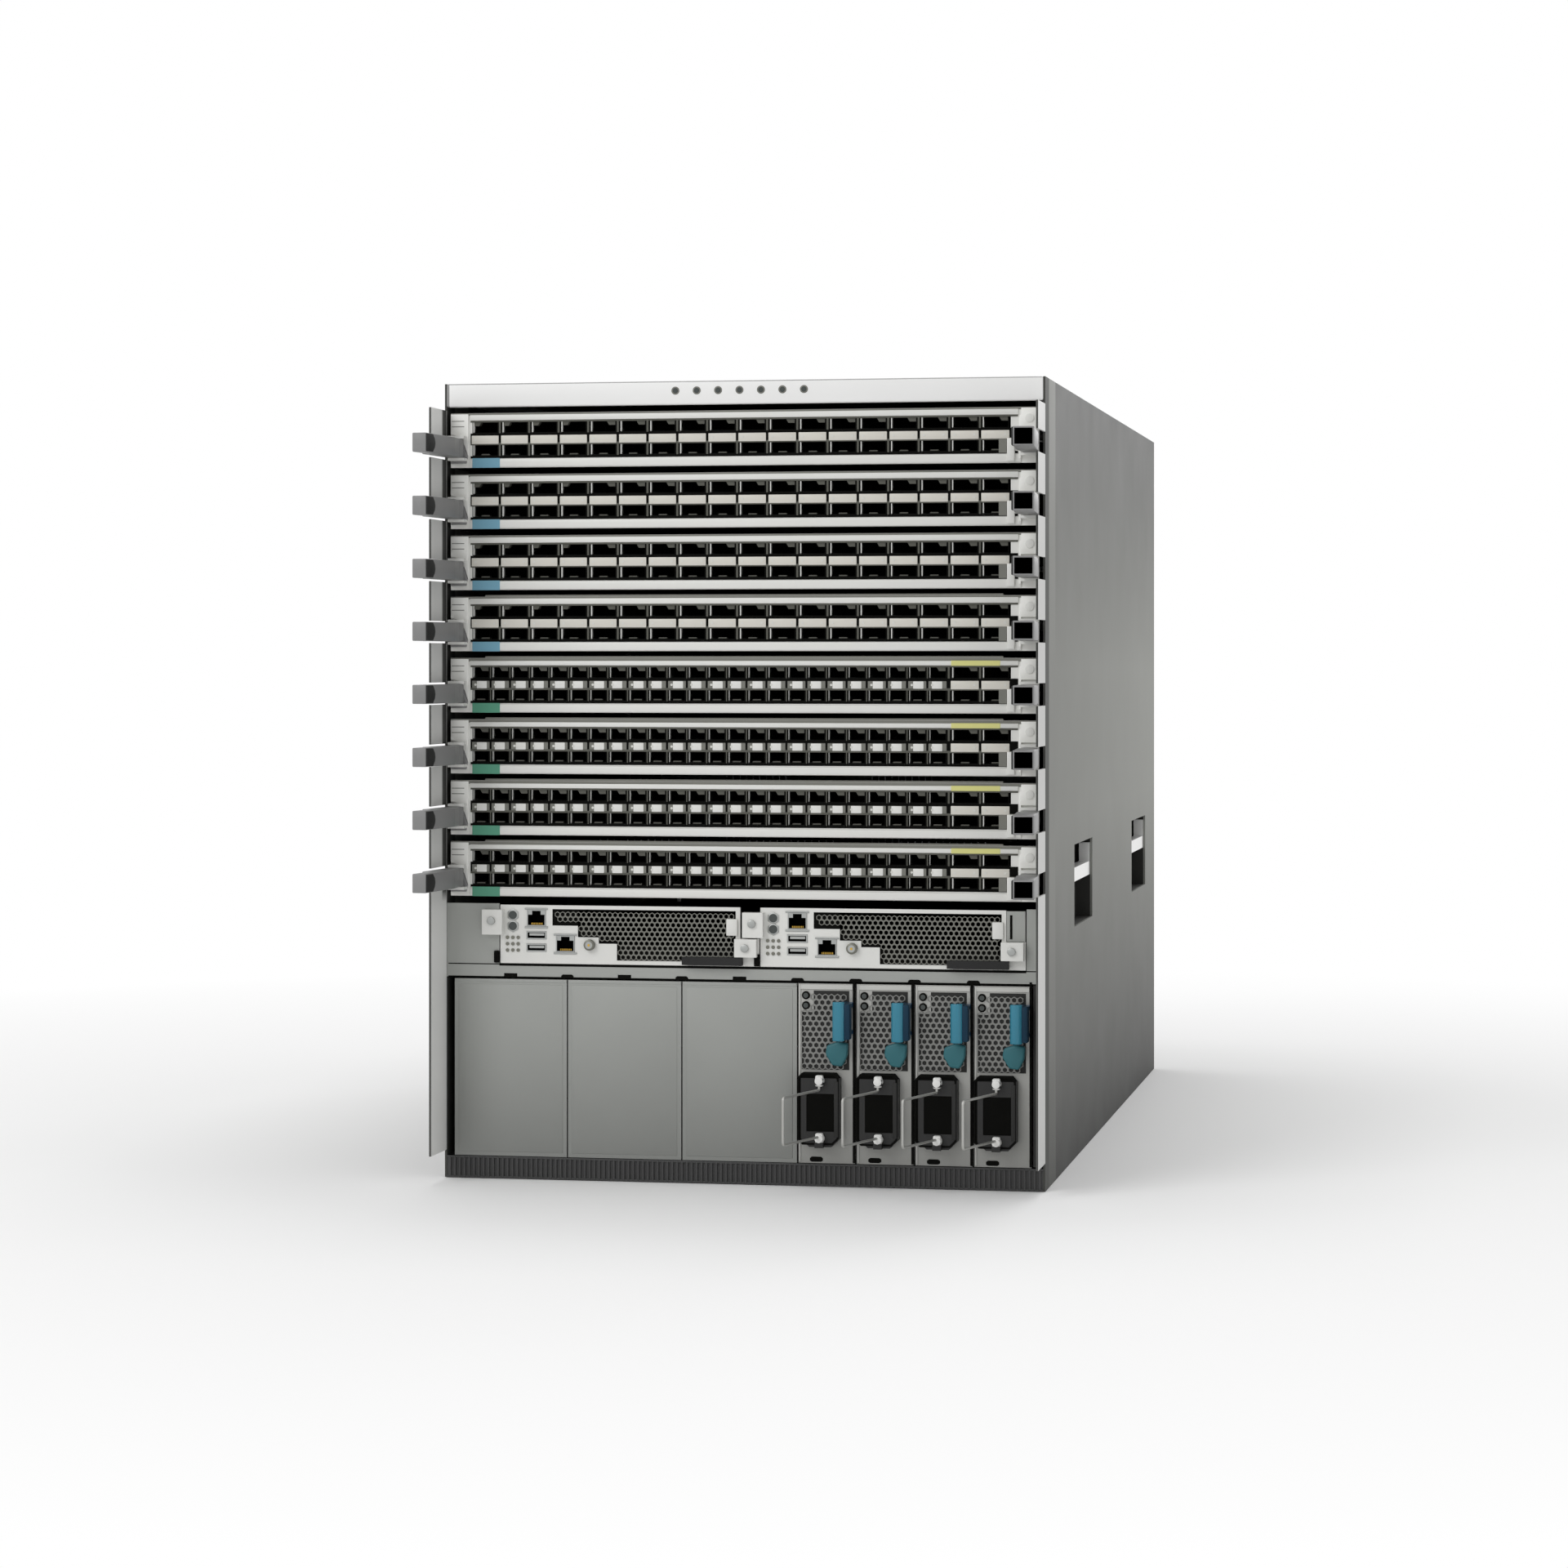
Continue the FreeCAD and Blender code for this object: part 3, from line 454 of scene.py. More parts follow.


# The side sheets: the same coat, painted darker to the head, the foot and the front as painted shade, with a painted
# shadow along the fold line, the flange behind the pale fins painted lighter as painted light and darker at its foot
# as painted shade, pans painted nearly black as painted shade, the right fin painted darker than the left as painted
# shade, and dark at the left fin's root and along the fins' front edges.
def side_coat(c):
    flange = beyond(Y, -342, -1, 3)
    pale_fin = both(beyond(Y, -401.5, -1), beyond(X, 0, -1))
    fin_root = both(beyond(Y, -412, 1, 2), beyond(Y, -401.4, -1), beyond(X, 0, -1), beyond(Z, 205, 1, 4))
    zones = [
        (beyond(Y, 0, -1, 380), shade(c.side, 0.74), 0.52, 0.0),
        (beyond(Z, 480, 1, 110), shade(c.side, 0.14), 0.5, 0.0),
        (beyond(Z, 130, -1, 130), shade(c.side, 0.12), 0.5, 0.0),
        (flange, shade(c.side, 0.72), 0.5, 0.0),
        (both(flange, beyond(Z, 110, -1, 110)), shade(c.side, 0.28), 0.5, 0.0),
        (beyond(Y, -379, -1, 2), shade(c.side, 0.25), 0.6, 0.0),
        (both(beyond(X, -218.2), beyond(X, 218.2, -1)), srgb("#2E2E2C"), 0.6, 0.0),
        (beyond(Y, -400.2, -1), shade(c.fin, 0.7), 0.42, 0.0),
        (pale_fin, c.fin, 0.42, 0.0),
        (fin_root, srgb("#4A4A48"), 0.6, 0.0),
        (beyond(Y, -439.6, -1), srgb("#5A5A58"), 0.5, 0.0),
    ]
    return surface("powder_coated_side", c.side, 0.52, grain=1.6, relief=0.03, zones=zones, specular=0.12)


# Line card: a painted zinc faceplate in front, and galvanised sheet with a dull spangle behind it.
def card_steel(c):
    behind = (beyond(Y, -396.9), srgb("#9C9E9C"), 0.38, 1.0)
    return surface("painted_faceplate", c.faceplate, 0.4, grain=1.2, relief=0.015, zones=[behind])


# Painted zinc casting on its own, for the strips and end plates of a card: smooth, with a low sheen.
face_paint = plain("faceplate_paint", "faceplate", 0.38, grain=1.2, relief=0.012, drift=0.03)

# Nickel-plated spring steel, stamped: mirror-like but brushed by the press, and set darker than bright nickel as
# painted shade, so it reads as mid grey.
cage_nickel = plain("nickel_port_cage", "cage", 0.34, 1.0, grain=0.5, stretch=(1, 1, 6), relief=0.006)

# Glass-filled black nylon of the sockets, inlets and lamp rims, and the same near black as painted shade inside the
# port cages and hollows, in slots, seams and gaps and on the sheets that close the inside: nearly no sheen, so the
# holes read as deep.
black_nylon = plain("black_nylon", "#0B0B09", 0.75, grain=0.6, specular=0.06)

# The bars between the ports: plated steel, dulled and in shadow.
cage_web = plain("shadowed_cage_bar", "#55554E", 0.55, specular=0.3)

# Warm white film behind the light windows between the port rows.
window_film = plain("window_film", "#D8D5CC", 0.4, drift=0.03)

# Shadowed sheet behind the light windows.
strip_grey = plain("strip_backing", "#74746D", 0.5, relief=0.02)

# Clear polycarbonate light pipe over a white print: pale, glossy and a little uneven.
light_pipe = plain("polycarbonate_light_pipe", "#DCDCD6", 0.16, grain=2.0, relief=0.02)

# Smoked polycarbonate lens of an unlit lamp: glossy and dark.
smoked_lens = plain("smoked_lens", "#3C4240", 0.14, grain=2.0)

# Screen-printed ink: flat colour, thin enough to keep the sheen of the paint under it.
blue_ink = plain("blue_ink", "blue_tag", 0.45, grain=0.8, relief=0.02)
green_ink = plain("green_ink", "green_tag", 0.45, grain=0.8, relief=0.02)
yellow_ink = plain("yellow_ink", "yellow_tag", 0.45, grain=0.8, relief=0.02)


# Moulded polycarbonate bar: pale, satin, with the fine spark texture of its mould, and with its top rim and left end
# painted darker as painted shade.
def bezel_plastic(c):
    rim = (beyond(Z, 576.1), shade(c.bezel, 0.36), 0.4, 0.0)
    end = (beyond(X, -216.2, -1), shade(c.bezel, 0.3), 0.4, 0.0)
    return surface("moulded_bezel", c.bezel, 0.36, grain=0.7, relief=0.012, drift=0.015, zones=[rim, end])


# Moulded dark ABS of the foot strip.
intake_plastic = plain("moulded_intake", "intake", 0.5, grain=0.7, relief=0.02)

# Glass-filled polycarbonate of the levers: grey, slightly mottled by the fibres.
lever_plastic = plain("moulded_lever", "lever", 0.42, relief=0.02, cloud=14)

# Overmoulded rubber grip: near black and matt.
grip_rubber = plain("grip_rubber", "#101010", 0.72, grain=0.7, relief=0.03)

# Zinc-plated steel: cool grey metal with the soft clouds of chromate.
zinc_plate = plain("zinc_plated_steel", "#A4A6A4", 0.36, 1.0, grain=1.2, cloud=25, drift=0.09)


# Module faceplate: nickel-plated steel, so pale that it reads as off-white.
def module_plate(c):
    behind = (beyond(Y, -396), srgb("#9C9E9C"), 0.4, 1.0)
    return surface("module_faceplate", c.faceplate, 0.36, grain=1.0, relief=0.012, zones=[behind])


# The controllers at the rear, with their painted face on the other side.
def controller_plate(c):
    inside = (beyond(Y, 396, -1), srgb("#9C9E9C"), 0.4, 1.0)
    return surface("controller_faceplate", shade(c.chassis, 1.15), 0.4, grain=1.0, relief=0.012, zones=[inside])


# Supply case: electro-galvanised sheet, darker and a little duller to the foot, the darkening painted shade, with the
# inlet block and loop handle of moulded plastic, the handle painted dark teal as painted shade.
def supply_case(c):
    foot = (beyond(Z, 50, -1, 45), shade(c.supply, 0.62), 0.45, 0.35)
    inlet = (both(beyond(Y, -399.7, -1), beyond(Z, 95, -1)), srgb("#0E0E0D"), 0.5, 0.0)
    handle = (both(beyond(Y, -399.7, -1), beyond(Z, 100)), srgb("#14405F"), 0.34, 0.0)
    return surface("galvanised_supply", c.supply, 0.42, 0.35, grain=1.4, relief=0.012, zones=[foot, inlet, handle])


# The same sheet on its own, punched with hexagon holes, at about half its tone as painted shade.
def supply_sheet(c):
    return surface("punched_supply_sheet", shade(c.supply, 0.54), 0.42, 0.35, grain=1.4, relief=0.012)


# The folded edges of a supply, painted lighter as a painted highlight where they catch the light, and less so toward
# the foot as painted shade.
def bright_edge(c):
    foot = (beyond(Z, 60, -1, 50), shade(c.supply, 0.95), 0.4, 0.2)
    return surface("bright_supply_edge", shade(c.supply, 1.35), 0.4, 0.2, grain=1.4, zones=[foot])


# Shadowed liner behind the punched sheet.
liner_grey = plain("liner", "#30302F", 0.6, specular=0.2, relief=0.02)

# Moulded acetal of the supply handles and latches: teal with a soft gloss, a darker tone painted as shade on the
# handles' sides and arms, and a duller tone on the latches that holds painted shade under the handles.
teal_acetal = plain("teal_acetal", "teal", 0.3, relief=0.015)
dark_teal_acetal = plain("dark_teal_acetal", "#0E3044", 0.5, relief=0.015, specular=0.2)
dull_teal_acetal = plain("dull_teal_acetal", "#346C74", 0.45, relief=0.015, specular=0.3)

# Matt white of the end plates: the faceplate paint made whiter as painted light, to lift them out of the levers'
# shadow.
label_stock = plain("label_stock", "#F6F6F2", 0.5, grain=1.2, drift=0.02)

# Matt mid grey along the seams between the cards, painted shade.
seam_grey = plain("seam_gasket", "#7C7C75", 0.7, relief=0.03)

# Stainless spring wire: bright, drawn lengthwise.
bail_steel = plain("stainless_wire", "#B4B4B0", 0.45, 0.6, grain=0.4, relief=0.004)

# White moulded knobs.
white_acetal = plain("white_acetal", "#EDEDEA", 0.34)


# Fan tray: powder coat in the chassis tone.
def fan_tray_coat(c):
    return surface("fan_tray_coat", shade(c.chassis, 0.92), 0.5, grain=1.6, relief=0.03)


# Fan blades and frame: black polybutylene, satin.
fan_plastic = plain("fan_plastic", "#1D1E1F", 0.44, relief=0.015)

# Forged steel drop handles, zinc-plated and worn bright at the grip.
handle_steel = plain("handle_steel", "#6A6A66", 0.5, 0.3, cloud=12, drift=0.1)

# Circuit board under green solder mask, with the weave of its glass cloth just showing.
solder_mask = plain("solder_mask", "board", 0.3, grain=1.0, relief=0.02, cloud=9, drift=0.12)

# Anodised extruded aluminium of the heat sinks.
sink_aluminium = plain("anodised_heat_sink", "#B9BCBE", 0.36, 1.0, grain=0.6, stretch=(6, 1, 1))

# Gold-plated contacts.
gold_plate = plain("gold_contact", "#C9A24B", 0.28, 1.0, grain=0.5, relief=0.02)


# The finish of each solid of the source, by how its name starts: the first that fits counts.
NODE_FINISHES = {
    "side_panel": side_coat,
    "top_cover": powder_coat,
    "base_tray": powder_coat,
    "power_shelf": powder_coat,
    "blank_cover": powder_coat,
    "fabric_cage": zinc_plate,
    "intake_grille": intake_plastic,
    "front_bezel": bezel_plastic,
    "line_card": card_steel,
    "ejector": lever_plastic,
    "supervisor_lever": grip_rubber,
    "supervisor": module_plate,
    "system_controller": controller_plate,
    "power_supply": supply_case,
    "supply_latch": teal_acetal,
    "cord_bail": bail_steel,
    "fan_tray": fan_tray_coat,
    "lift_handle": handle_steel,
}


# Operators


class SWITCH_OT_stage(bpy.types.Operator):
    """Make the camera, the soft lamps and the pale floor"""

    bl_idname = "switch.stage"
    bl_label = "Stage"

    def execute(self, context):
        scene = context.scene
        scene.view_settings.view_transform = "Standard"
        self.camera(scene)
        for name, spot, size, power in LAMPS:
            light = bpy.data.lights.new(name, "AREA")
            light.size = size
            light.energy = power
            lamp = add(name, light)
            lamp.location = spot
            lamp.rotation_euler = (Vector(LAMP_AIM) - Vector(spot)).to_track_quat("-Z", "Y").to_euler()
        self.world(scene)
        self.floor()
        return {"FINISHED"}

    def camera(self, scene):
        """A long lens, level and shifted, a little to the right of the middle."""
        lens = bpy.data.cameras.new("camera")
        lens.lens = 84.4
        lens.sensor_width = 36
        lens.shift_x = -0.0578
        lens.shift_y = -0.078
        lens.clip_end = 200
        scene.camera = add("camera", lens)
        scene.camera.location = (0.546, -2.983, 0.375)
        scene.camera.rotation_euler = Vector((-0.1711, 0.9853, 0)).to_track_quat("-Z", "Y").to_euler()

    def world(self, scene):
        """Plain white where it is seen, and softer where it lights the object."""
        scene.world = bpy.data.worlds.new("white_studio")
        tree = bare_tree(scene.world)
        seen = self.seen_directly(tree)
        soft = node(tree, "Background", {"Color": WHITE, "Strength": 0.5}).outputs[0]
        white = node(tree, "Background", {"Color": WHITE, "Strength": 1.0}).outputs[0]
        mixed = node(tree, "MixShader", {0: seen, 1: soft, 2: white}).outputs[0]
        node(tree, "OutputWorld", {0: mixed})

    def floor(self):
        """A wide floor, a hair below the object."""
        bm = bmesh.new()
        bmesh.ops.create_grid(bm, x_segments=1, y_segments=1, size=30)
        bmesh.ops.translate(bm, verts=bm.verts, vec=(0, 0, -0.0003))
        mesh = bpy.data.meshes.new("floor")
        bm.to_mesh(mesh)
        bm.free()
        mesh.materials.append(self.floor_paint())
        floor = add("floor", mesh)
        floor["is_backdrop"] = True

    def seen_directly(self, tree):
        """1 for rays from the camera, from gloss and through glass."""
        path = node(tree, "LightPath").outputs
        share = path["Is Camera Ray"]
        for kind in ("Is Glossy Ray", "Is Transmission Ray"):
            share = node(tree, "Math", {0: share, 1: path[kind]}, operation="MAXIMUM").outputs[0]
        return share

    def floor_paint(self):
        """Matt pale floor that keeps the shadow near the object and runs out to plain white."""
        made = bpy.data.materials.new("studio_floor")
        tree = bare_tree(made)
        place = node(tree, "TexCoord").outputs["Object"]
        reach = node(tree, "VectorMath", {0: place}, operation="LENGTH").outputs["Value"]
        far = node(tree, "MapRange", {"Value": reach, "From Min": 0.6, "From Max": 1.5}).outputs[0]
        share = node(tree, "Math", {0: far, 1: self.seen_directly(tree)}, operation="MULTIPLY").outputs[0]
        matt = node(tree, "BsdfDiffuse", {"Color": srgb("#FAFAFA")}).outputs[0]
        white = node(tree, "Emission", {"Color": WHITE, "Strength": 1.0}).outputs[0]
        mixed = node(tree, "MixShader", {0: share, 1: matt, 2: white}).outputs[0]
        node(tree, "OutputMaterial", {0: mixed})
        return made


class SWITCH_OT_finishes(bpy.types.Operator):
    """Give every solid of the source its finish"""

    bl_idname = "switch.finishes"
    bl_label = "Finishes"

    def execute(self, context):
        for name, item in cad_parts.items():
            kind = next(kind for kind in NODE_FINISHES if name.startswith(kind))
            material = NODE_FINISHES[kind](context.scene.switch_colours)
            if item.data.materials:
                item.data.materials[0] = material
            else:
                item.data.materials.append(material)
        return {"FINISHED"}


class SWITCH_OT_bezel(bpy.types.Operator):
    """Model the moulded top bar with its round lights"""

    bl_idname = "switch.bezel"
    bl_label = "Top bar"

    def execute(self, context):
        low, high = corners("front_bezel")
        piece = Piece()
        face = FRONT - 1.5
        piece.block((low.x, face, low.z), (high.x, high.y, high.z - 0.02), 0, 1.4, 3)
        for light in range(7):
            spot = (-47.8 + 15.7 * light, 570)
            piece.stud(*spot, face + 1, face - 0.35, 2.9, 1, soft=0.2)
            piece.stud(*spot, face, face - 0.6, 2.1, 2, tip=1.8)
        finishes = (bezel_plastic, strip_grey, smoked_lens)
        piece.finish("bezel_bar", "chassis", "bezel_plastic", *finishes, replaces="front_bezel")
        return {"FINISHED"}


class SWITCH_OT_intake(bpy.types.Operator):
    """Model the foot strip with its fine ribs"""

    bl_idname = "switch.intake"
    bl_label = "Intake strip"

    def execute(self, context):
        pitch = context.scene.switch_sizes.rib_pitch / MM
        low, high = corners("intake_grille")
        piece = Piece()
        piece.block((low.x, low.y + 1.4, low.z), (high.x, high.y, high.z))
        for foot in (low.z, high.z - 1.6):
            piece.block((low.x, low.y + 0.4, foot), (high.x, low.y + 6, foot + 1.6), 0, 0.3)
        count = int((high.x - low.x) / pitch)
        start = (low.x + high.x - pitch * (count - 1)) / 2
        for rib in range(count):
            x = start + pitch * rib
            piece.block((x - 0.9, low.y, low.z + 0.8), (x + 0.9, low.y + 6, high.z - 0.8), 0, 0.4)
        piece.finish("intake_ribs", "chassis", "grille_plastic", intake_plastic, replaces="intake_grille")
        return {"FINISHED"}


def card_foot(number):
    """Height of a line card's lower edge."""
    return corners(f"line_card_{number}")[0].z


def port_columns(number):
    """Left edge and width of each column of ports on a card."""
    if number <= WIDE_CARDS:
        return [(FIRST_PORT + 22 * column, WIDE_PORT) for column in range(18)]
    narrow = [(FIRST_PORT + 14.6 * column, NARROW_PORT) for column in range(24)]
    return narrow + [(UPLINK, WIDE_PORT), (UPLINK + 22, WIDE_PORT)]


class SWITCH_OT_card_faces(bpy.types.Operator):
    """Model the face of each line card: cages, light windows, strips, tags and end plates"""

    bl_idname = "switch.card_faces"
    bl_label = "Card faces"

    def execute(self, context):
        for number in CARDS:
            self.cages(number)
            self.strips(number)
        return {"FINISHED"}

    def cages(self, number):
        """One cage in each port, near black as painted shade, with its latch tongue, and the bars between the cages.
        """
        piece = Piece(0, FRONT, card_foot(number))
        columns = port_columns(number)
        gaps = [(x + width, following[0]) for (x, width), following in zip(columns, columns[1:])]
        for low in (LOWER_PORTS, UPPER_PORTS):
            high = low + PORT_HEIGHT
            for x, width in columns:
                shell = piece.block((x + 0.1, -0.2, low + 0.1), (x + width - 0.1, 42, high - 0.1), 0)
                piece.pocket(shell, 0.5, 40, 0)
                if low == UPPER_PORTS:
                    piece.prism(self.tongue(x, width, high), Y, 0.3, 6, 1)
                else:
                    middle = x + width / 2
                    piece.block((middle - 3, 0.6, low + 0.7), (middle + 3, 5, low + 1.6), 1)
            for start, end in gaps:
                middle, half = (start + end) / 2, 0.75 if end - start > 2 else 0.4
                piece.block((start - 0.2, -0.3, low - 0.3), (end + 0.2, 0.4, high + 0.3), 0)
                piece.block((middle - half, -0.7, low), (middle + half, 0.4, high - 0.3), 1, 0.15)
            piece.block((-STRIP_HALF, -0.3, low - 1.6), (STRIP_HALF, 0.4, low), 0)
            piece.block((-STRIP_HALF, -0.6, high - 0.7), (STRIP_HALF, -0.2, high + 0.9), 1, 0.15)
        piece.finish(f"card_cages_{number}", f"line_card_{number}", "card_steel", black_nylon, cage_web)

    def tongue(self, x, width, high):
        """The latch tongue under an upper cage's roof: at its right end, but at its left on the first columns."""
        roof, foot, tip = high - 0.7, high - 3.4, x + width - 0.8
        if x < -120 and width == WIDE_PORT:
            return [(x + 0.8, roof), (x + 0.8, high - 3.2), (x + 5, high - 3.2), (x + 6.4, roof)]
        return [(tip - 6.2, roof), (tip - 4.6, foot), (tip, foot), (tip, roof)]

    def strips(self, number):
        """The painted strips above, between and below the ports, and the plates at the ends."""
        wide = number <= WIDE_CARDS
        head, brow = (38.2, 6.4) if wide else (37.4, 5.8)
        piece = Piece(0, FRONT, card_foot(number))
        piece.block((-201, -1.1, 34.1), (201, 0.3, head), 0, 0.5, 2)
        piece.block((-201, -1.1, 0.4), (203, 0.3, brow), 0, 0.6, 2)
        # Near black behind the light windows between the port rows, painted shade.
        piece.block((-STRIP_HALF, -0.35, 16.9), (STRIP_HALF, 0.3, 24.8), 6)
        # Mid grey along the card's upper edge and in the seam above it, painted shade.
        piece.block((-215.2, -0.25, head - 0.4), (215.2, 0.3, 39.4), 7)
        if number > 3:
            piece.block((-190, 0.5, 39), (190, 2.5, 40.8), 7, 0.4)
        for column, (x, width) in enumerate(port_columns(number)):
            self.window(piece, column, x, width)
        piece.block((-199, -1.35, -0.2), (-178.4, -0.9, 6.8), 3, 0.1)
        if not wide:
            piece.block((UPLINK, -1.3, 33.9), (188, -0.9, 37.6), 4, 0.1)
        piece.block((186.9, -1.2, 7), (192.6, 0.2, 17.1), 1, 0.3)
        piece.block((193, -3.4, 1.2), (198.4, 0.2, 17.4), 0, 0.5, 2)
        # The end plates take the whitened faceplate paint, painted light.
        left_plate = [(-215.3, 38.8), (-202, 38.8), (-202, 8), (-205, 16.5), (-209, 22.5), (-215.3, 24.5)]
        piece.prism(left_plate, Y, -1.6, 0.2, 8, 0.4, 2)
        bracket = [(-215.4, 3), (-203.6, 3), (-202.6, 8), (-205.3, 16), (-209.2, 21.6), (-215.4, 23.6)]
        piece.prism(bracket, Y, -1.4, 0.2, 5, 0.4, 2)
        # Two thin dark lines on the left plate, painted shade in its grooves.
        for z in (29.5, 33.5):
            piece.block((-214.3, -1.75, z), (-205, -1.5, z + 0.5), 1)
        right_plate = [(203, 38.8), (215.3, 38.8), (215.3, 24), (203, 24)]
        right_plate += [(203, 3), (201.6, 3), (201.6, 33), (203, 34)]
        piece.prism(right_plate, Y, -2.2, 0.2, 8, 0.3, 2)
        piece.stud(209.2, 31.5, -3.2, -2, 3.2, 0, soft=0.4)
        finishes = [face_paint, strip_grey, light_pipe, blue_ink if wide else green_ink, yellow_ink]
        finishes += [lever_plastic, black_nylon, seam_grey, label_stock, window_film]
        piece.finish(f"card_strips_{number}", f"line_card_{number}", "card_steel", *finishes)

    def window(self, piece, column, x, width):
        """The light window between two ports, with one or two lamps."""
        lamps = [x + 2.6]
        if width == WIDE_PORT:
            piece.block((x - 0.4, -0.9, 17.1), (x + width + 0.4, 0.2, 23.2), 9, 0.4, 2)
            lamps = [x + width - 2.6, x + 2.6]
        else:
            piece.block((x - 0.2, -0.6, 17.3), (x + width + 0.2, 0.2, 23.0), 1, 0.3)
            bright = x + 3.4 - 1.1 * (column % 2)
            piece.block((bright, -0.9, 17.5), (bright + 7.6, 0.2, 22.8), 0, 0.4, 2)
        for lamp in lamps:
            piece.stud(lamp, 20.2, -1.15, -0.5, 0.9, 2, sides=12)


class SWITCH_OT_card_boards(bpy.types.Operator):
    """Model the circuit board of each line card, with its heat sinks, chips and rear contacts"""

    bl_idname = "switch.card_boards"
    bl_label = "Card boards"

    def execute(self, context):
        for number in CARDS:
            piece = Piece(0, 0, card_foot(number) + BOARD_RISE)
            top = 1.8
            piece.block((-194, -350, 0), (194, 137, top), 0, 0.2)
            for x, y, half in ((-118, -180, 34), (0, -180, 34), (118, -180, 34), (-60, -30, 26), (60, -30, 26)):
                self.heat_sink(piece, x, y, half, top)
            for row in range(4):
                for column in range(11):
                    x, y = -180 + 36 * column, 20 + 26 * row
                    tall = 3 + (row + column) % 3 * 2
                    piece.block((x - 7, y - 5, top), (x + 7, y + 5, top + tall), 2, 0.3)
            for row in range(3):
                for contact in range(36):
                    x, z = -178 + 10 * contact, 9 * row - 8
                    piece.block((x, 149, z), (x + 4, 150.2, z + 2.5), 3)
            finishes = (solder_mask, sink_aluminium, fan_plastic, gold_plate)
            piece.finish(f"card_board_{number}", f"line_card_{number}", "card_steel", *finishes)
        return {"FINISHED"}

    def heat_sink(self, piece, x, y, half, foot):
        """A square base with upright fins from front to rear."""
        piece.block((x - half, y - half, foot), (x + half, y + half, 5), 1, 0.4)
        fins = int(half * 2 / 5)
        for fin in range(fins):
            edge = x - half + 1 + (2 * half - 3) * fin / (fins - 1)
            piece.block((edge, y - half + 1, 5), (edge + 1, y + half - 1, 19), 1)


class SWITCH_OT_levers(bpy.types.Operator):
    """Model the ejector levers: an arm, hollow on the right levers, and a rubber grip pad"""

    bl_idname = "switch.levers"
    bl_label = "Ejector levers"

    def execute(self, context):
        for number in CARDS:
            for side, name in ((-1, "left"), (1, "right")):
                self.lever(number, side, name)
        return {"FINISHED"}

    def lever(self, number, side, name):
        """One lever, drawn straight ahead and then turned to its splay."""
        rise, reach = 6.75, 80
        piece = Piece()
        arm = [(-7.5, -reach), (-7.5, -24), (-4.5, -8), (-4.5, 1.6), (4.5, 1.6), (7.2, -3), (7.5, -24)]
        arm += [(7.5, -reach)] if side > 0 else [(7.5, -50), (3, -50), (3, -reach)]
        piece.prism([(u * side, v) for u, v in arm], Z, -rise, rise, 0, 0.7, 2)
        if side > 0:
            # The hollow is lined near black, painted shade.
            piece.pocket(list(piece.bm.verts), 0.5, 60, 2)
        skin = sorted((-8.3 * side, -7.2 * side))
        pad = [(-reach, -6.3), (-68, -6.3), (-64.5, -3), (-63.5, 0), (-64.5, 3), (-68, 6.3), (-reach, 6.3)]
        piece.prism(pad, X, *skin, 1, 0.4, 2)
        place = Matrix.Translation((HINGE_HALF * side, FRONT - 6, card_foot(number) + 13.75))
        splay = Matrix.Rotation(math.radians(SPLAY * side), 4, "Z")
        bmesh.ops.transform(piece.bm, matrix=place @ splay, verts=piece.bm.verts)
        body = f"ejector_{name}_{number}"
        finishes = (lever_plastic, grip_rubber, black_nylon)
        piece.finish(f"lever_{name}_{number}", body, "lever_plastic", *finishes, replaces=body)


